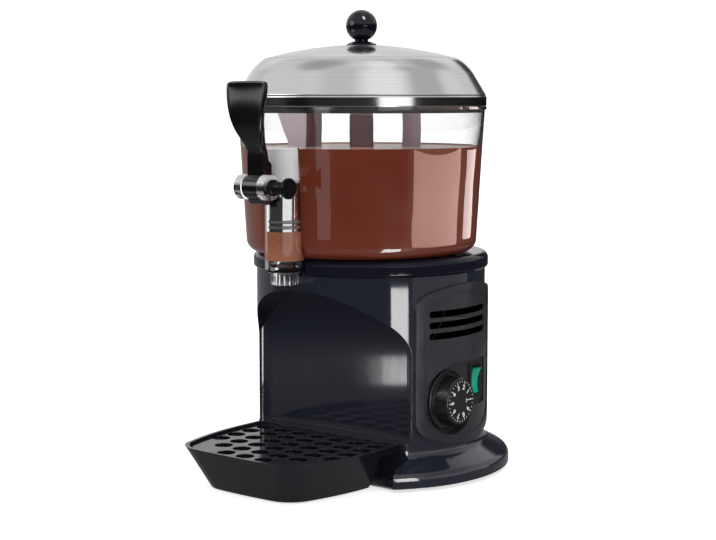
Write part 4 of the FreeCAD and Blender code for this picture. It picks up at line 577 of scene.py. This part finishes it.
for lower, upper in zip(sections, sections[1:]):
    bmesh.ops.bridge_loops(paddle, edges=lower + upper)
for end in (sections[0], sections[-1]):
    bmesh.ops.contextual_create(paddle, geom=end)
bmesh.ops.recalc_face_normals(paddle, faces=paddle.faces)
lever_paddle = finished("lever_paddle", paddle, "lever", "lever_black", lever_black, 80)
rounding = lever_paddle.modifiers.new("rounding", "SUBSURF")
rounding.levels = rounding.render_levels = 2
lever_paddle.modifiers.remove(lever_paddle.modifiers["even_shading"])
pin_black = gloss_moulding("pin_black", (0.0040, 0.0040, 0.0045), 0.28, 0.4 * mm, Specular_IOR_Level=0.10)
stand_in("pivot_pin", "tap_pin", "pin", "dark_trim", pin_black)


# ---------------------------------------------------------------- lid
# A lid spun from one disc of stainless steel and brushed round its axis: low dome, sloping skirt
# and a rolled band that sits over the bowl's lip. A black ball knob is screwed on with a disc.

lid_steel = Finish("lid_steel", (0.64, 0.63, 0.64), 0.15, Metallic=1.0, Anisotropic=0.3)
lid_spots = lid_steel.spots((0, axis_y, 0))
parts = lid_steel.add("SeparateXYZ", Vector=lid_spots)
from_axis = lid_steel.calculate("SQRT", lid_steel.calculate(
    "ADD", lid_steel.calculate("POWER", parts.outputs[0], 2.0),
    lid_steel.calculate("POWER", parts.outputs[1], 2.0)))
rings = lid_steel.add("CombineXYZ", X=from_axis, Y=0.0, Z=parts.outputs[2]).outputs[0]
brushing = lid_steel.noise(1500, 3, rings)
smear = lid_steel.noise(11, 3, lid_spots)
dulled = 20 * mm, 60 * mm
tangent = lid_steel.add("Tangent")
tangent.direction_type, tangent.axis = "RADIAL", "Z"
lid_steel.varied(
    Base_Color=lid_steel.between(lid_steel.span(brushing, 0, 1), (0.65, 0.64, 0.65), (0.57, 0.56, 0.57)),
    Roughness=lid_steel.calculate("ADD", lid_steel.span(brushing, 0.10, 0.15), lid_steel.span(
        smear, lid_steel.span(from_axis, 0.22, 0.0, *dulled), lid_steel.span(from_axis, 0.28, 0.06, *dulled))),
    Tangent=tangent.outputs[0])
lid_steel.relief(brushing, 0.0015 * mm)


def dome_line(crown, drop, radii):
    """Points of a shallow dome in mm, which is lower than its crown by the drop at a radius of 96."""
    return [(r, crown - drop * (r / 96.0) ** 2) for r in radii]


lid_sheet = turned_solid(dome_line(413.2, 13.7, (2.6, 24.0, 48.0, 72.0, 94.0)) + [
    (104.4, 392.6), (120.7, 365.3), (120.5, 364.2), (121.45, 363.5), (121.45, 354.25), (116.3, 354.25),
    (116.3, 348.3), (114.85, 348.3), (114.85, 355.7), (120.0, 355.7), (120.0, 362.8), (103.2, 391.0),
    (92.0, 398.6)] + dome_line(408.5, 10.5, (72.0, 48.0, 24.0, 2.6)),
    axis_y, {5: 9, 6: 0.4, 8: 0.8, 9: 0.8, 16: 7}, 160)
finished("steel_lid", lid_sheet, "lid", "polished_steel", lid_steel, 30, "lid")

knob_black = gloss_moulding("knob_black", (0.0045, 0.0045, 0.0100), 0.06, 0.3 * mm, Specular_IOR_Level=0.35)
finished("knob_disc", turned_solid([
    (2.6, 413.2), (14.4, 413.1), (14.5, 413.9), (9.4, 416.45), (2.6, 416.45)], axis_y, {2: 0.3, 3: 1.5}, 96),
    "lid", "dark_trim", knob_black, 30, "knob_flange")
stand_in("ball_knob", "lid_knob", "lid", "dark_trim", knob_black)
stand_in("lid_fixing", "lid_screw", "lid", "plated_steel", sheet_zinc)


# ---------------------------------------------------------------- drip tray and grille
# The tray is a deep moulding with leaning walls that slides in from the front. The grille lies in
# it on a narrow seat: a flat plate with round holes and thin stiffening ribs moulded below.

tray_gloss = gloss_moulding("tray_gloss", (0.0085, 0.0088, 0.0125), 0.11, 0.6 * mm,
                            Specular_IOR_Level=0.42)
stand_in("tray", "drip_tray", "tray", "tray_black", tray_gloss)
stand_in("grille", "drip_grille", "grille", "tray_black", tray_gloss)
ribs = bmesh.new()
rib_top, rib_foot = 35.7 * mm, 33.7 * mm
row_pitch, column_pitch, beside_hole = 21, 23.2, 3.4
hole_rows = [(-152.75 + row_pitch * row, min(row + 1, 3)) for row in range(6)]


def rib(low, high):
    """A thin upright rib between two corners."""
    low, high = Vector(low), Vector(high)
    bmesh.ops.create_cube(ribs, size=1, matrix=Matrix.Translation((low + high) / 2)
                          @ Matrix.Diagonal((*(high - low), 1)))


for y, spread in hole_rows:
    reach = (column_pitch * spread + 8.6) * mm
    rib((-reach, (y - 0.5) * mm, rib_foot), (reach, (y + 0.5) * mm, rib_top))
for column in range(-3, 4):
    rows = [y for y, spread in hole_rows if abs(column) <= spread]
    for side in (-beside_hole, beside_hole):
        x = (column_pitch * column + side) * mm
        rib((x - 0.45 * mm, (rows[0] - 8) * mm, rib_foot), (x + 0.45 * mm, (rows[-1] + 8) * mm, rib_top))
finished("grille_ribs", ribs, "grille", "tray_black", tray_gloss)


# ---------------------------------------------------------------- mains inlet and wiring
# A black gland low at the back takes the mains cord. Three leads run from the screw terminal block
# to the switch, the motor and the heater, in dark red heat-proof sleeving.

sleeving = Finish("sleeving", (0.20, 0.018, 0.016), 0.6, Sheen_Weight=0.3)
braid = sleeving.noise(1300, 2, sleeving.spots(stretch=(1, 1, 3)))
sleeving.varied(Base_Color=sleeving.between(
    sleeving.span(braid, 0, 1), (0.25, 0.022, 0.02), (0.11, 0.012, 0.012)))
sleeving.relief(braid, 0.15 * mm)
stand_in("inlet_gland", "cable_gland", "machine", "dark_trim", inner_black)
stand_in("terminals", "terminal_block", "machine", "white_plastic", unit_white)
stand_in("lead_to_switch", "switch_lead", "machine", "lead_sleeve", sleeving)
stand_in("lead_to_motor", "motor_lead", "machine", "lead_sleeve", sleeving)
stand_in("lead_to_heater", "heater_lead", "machine", "lead_sleeve", sleeving)


# ---------------------------------------------------------------- studio
# A white floor runs into a white surround, with soft light from all round, a broad lamp above and a
# small one under the lid. Gloss sees a darker room in front of the machine, with softboxes that show
# only as reflections.

scene = bpy.context.scene
scene.view_settings.view_transform = "Standard"

floor_shape = bmesh.new()
bmesh.ops.create_circle(floor_shape, cap_ends=True, segments=96, radius=14.0)
floor_mesh = bpy.data.meshes.new("floor")
floor_shape.to_mesh(floor_mesh)
floor_shape.free()
floor = bpy.data.objects.new("floor", floor_mesh)
scene.collection.objects.link(floor)
paper = Finish("floor_paper", (0.8, 0.8, 0.8), 0.9, Specular_IOR_Level=0.0)
window_azimuth = -112
seen_white = 1.2
soft_light = 1.0


def heading(azimuth, climb=0.0):
    """A direction of the room: azimuth 0 is in front of the machine, 90 at its right."""
    azimuth, climb = math.radians(azimuth), math.radians(climb)
    return (math.sin(azimuth) * math.cos(climb), -math.cos(azimuth) * math.cos(climb), math.sin(climb))


def patch(finish, direction, strength, azimuth, climb, inner, outer, level):
    """Brings a strength to a level round one heading, fading out from inner to outer degrees."""
    nearness = finish.add("VectorMath", _0=direction, _1=heading(azimuth, climb))
    nearness.operation = "DOT_PRODUCT"
    share = finish.span(nearness.outputs["Value"], 0, 1, math.cos(math.radians(outer)),
                        math.cos(math.radians(inner)))
    return finish.calculate("MULTIPLY_ADD", share, finish.calculate("SUBTRACT", level, strength), strength)


def sights(finish):
    """Whether a ray has been mirrored on its way, and whether it comes straight from the camera."""
    ray = finish.add("LightPath").outputs
    mirrored = finish.calculate("MULTIPLY", finish.calculate("MINIMUM", ray["Glossy Depth"], 1.0),
                                finish.calculate("SUBTRACT", 1.0, ray["Is Diffuse Ray"]))
    plain = finish.calculate("MAXIMUM", ray["Is Camera Ray"], ray["Is Transmission Ray"])
    return mirrored, finish.calculate("MULTIPLY", plain, finish.calculate("SUBTRACT", 1.0, mirrored))


in_mirror, in_view = sights(paper)
glowing = paper.add("Emission", Color=(1, 1, 1, 1), Strength=0.62)
lit_white = paper.add("AddShader", _0=paper.shader.outputs[0], _1=glowing.outputs[0])
outward = paper.add("VectorMath", _0=paper.spots())
outward.operation = "NORMALIZE"
distance = paper.add("VectorMath", _0=paper.spots())
distance.operation = "LENGTH"
gleam = patch(paper, outward.outputs[0], paper.span(distance.outputs["Value"], 0.26, 0.04, 0.65, 0.95),
              window_azimuth, 0, 36, 44, 0.3)
gleaming = paper.add("Emission", Color=(1, 1, 1, 1), Strength=gleam)
plain = paper.add("MixShader", _0=in_mirror, _1=paper.shader.outputs[0], _2=gleaming.outputs[0])
shown = paper.add("MixShader", _0=in_view, _1=plain.outputs[0], _2=lit_white.outputs[0])
paper.fill(paper.tree.nodes["Material Output"], Surface=shown.outputs[0])
floor_mesh.materials.append(paper.material)


class Surround(Finish):
    """The world's nodes, made by the same calls as a finish."""

    def __init__(self, world):
        world.use_nodes = True
        self.tree = world.node_tree


scene.world = bpy.data.worlds.new("surround")
room = Surround(scene.world)
in_mirror, in_view = sights(room)
towards = room.add("TexCoord").outputs["Generated"]
upward = room.add("SeparateXYZ", Vector=towards).outputs[2]
walls = patch(room, towards, 0.06, window_azimuth, 8, 34, 44, 0.85)
ceiling = room.span(room.noise(2.2, 1, towards), 0.70, 0.98, 0.36, 0.64)
# Patches of the ceiling and upper walls: azimuth, climb, inner and outer degrees, level.
for place in ((-60, 45, 8, 26, 0.9), (-68, 68, 8, 18, 0.5), (8, 63, 10, 22, 0.78), (122, 50, 12, 22, 0.62),
              (72, 60, 9, 22, 1.2), (130, 80, 5, 12, 1.2), (165, 50, 9, 17, 0.55), (153, 34, 6, 13, 0.95),
              (195, 13, 9, 13, 0.03), (-140, 14, 8, 16, 0.8)):
    ceiling = patch(room, towards, ceiling, *place)
high_up = room.span(upward, 0, 1, 0.10, 0.24)
mixed = room.calculate("MULTIPLY_ADD", high_up, room.calculate("SUBTRACT", ceiling, walls), walls)
mirrored = room.calculate("MULTIPLY", mixed, room.span(upward, 0.05, 1, 0.03, 0.05))
strength = room.calculate("MULTIPLY_ADD", in_mirror, room.calculate("SUBTRACT", mirrored, soft_light),
                          soft_light)
strength = room.calculate("MULTIPLY_ADD", in_view, room.calculate("SUBTRACT", seen_white, strength),
                          strength)
room.fill(room.tree.nodes["Background"], Color=(1, 1, 1, 1), Strength=strength)


def softbox(name, azimuth, distance, centre_z, width, height, brightness, lights_object=False, aim_z=None,
            tint=(1, 1, 1), only=(), roll=0.0):
    """A rectangular lamp that faces the machine, azimuth 0 in front and 90 at its right, and that may
    be rolled about that line. It may shine on named pieces only, and then also shows through clear
    plastic."""
    lamp = bpy.data.lights.new(name, "AREA")
    lamp.shape = "RECTANGLE"
    lamp.size, lamp.size_y = width, height
    lamp.energy = brightness * math.pi * width * height
    lamp.color = tint
    holder = bpy.data.objects.new(name, lamp)
    scene.collection.objects.link(holder)
    spot = Vector(heading(azimuth)) * distance + Vector((0, 0, centre_z))
    target = Vector((0, 0, centre_z if aim_z is None else aim_z))
    facing = (target - spot).to_track_quat("-Z", "Y").to_matrix().to_4x4()
    holder.matrix_world = Matrix.Translation(spot) @ facing @ Matrix.Rotation(math.radians(roll), 4, "Z")
    holder.visible_camera = False
    holder.visible_transmission = bool(only)
    holder.visible_diffuse = lights_object
    holder.visible_glossy = not lights_object
    if only:
        lit_pieces = bpy.data.collections.new(name + "_pieces")
        for piece in only:
            lit_pieces.objects.link(bpy.data.objects[piece])
        holder.light_linking.receiver_collection = lit_pieces


softbox("body_strip", 66.8, 0.32, 0.075, 0.085, 0.17, 14.0)
softbox("band_strip", 68, 0.70, 0.39, 0.36, 0.13, 1.8)
softbox("niche_strip", -40.8, 0.45, 0.019, 0.011, 0.036, 9.0)
softbox("lever_window", -38, 0.80, 0.63, 0.50, 0.36, 3.0)
softbox("side_window", 112, 0.70, 0.16, 0.90, 0.30, 0.5, only=("shell", "panel"))
softbox("front_strip", 5, 0.70, 0.205, 0.16, 0.20, 0.8, only=("clear_bowl",))
softbox("bowl_window", 113.5, 0.70, 0.160, 0.71, 0.150, 5.0, tint=(1.0, 0.70, 0.59),
        only=("clear_bowl",), roll=2.2)
softbox("bowl_strip", 160, 0.80, 0.190, 0.25, 0.13, 4.6, tint=(1.0, 0.85, 0.80),
        only=("clear_bowl",), roll=2.9)
softbox("piston_window", 55, 0.55, 0.214, 0.60, 0.09, 1.1, only=("piston", "tap_tube"))
softbox("piston_strip", -76, 0.55, 0.214, 0.16, 0.09, 1.1, only=("piston", "tap_tube"))
softbox("knob_light", 67, 0.25, 0.78, 0.10, 0.17, 24.0, aim_z=0.43, only=("ball_knob",))
softbox("overhead", 20, 0.25, 1.7, 1.4, 1.4, 0.9, True, 0.2)
softbox("under_lid", 0, 0.001, 0.3495, 0.19, 0.19, 1.0, True, 0.0)

camera = bpy.data.cameras.new("camera")
camera.sensor_width = 36
camera.sensor_fit = "HORIZONTAL"
camera.lens = 77.93
viewer = bpy.data.objects.new("camera", camera)
scene.collection.objects.link(viewer)
viewer.location = (0.9456, -1.1710, 0.3630)
viewer.rotation_euler = (math.radians(83.6315), 0, math.radians(38.6286))
scene.camera = viewer
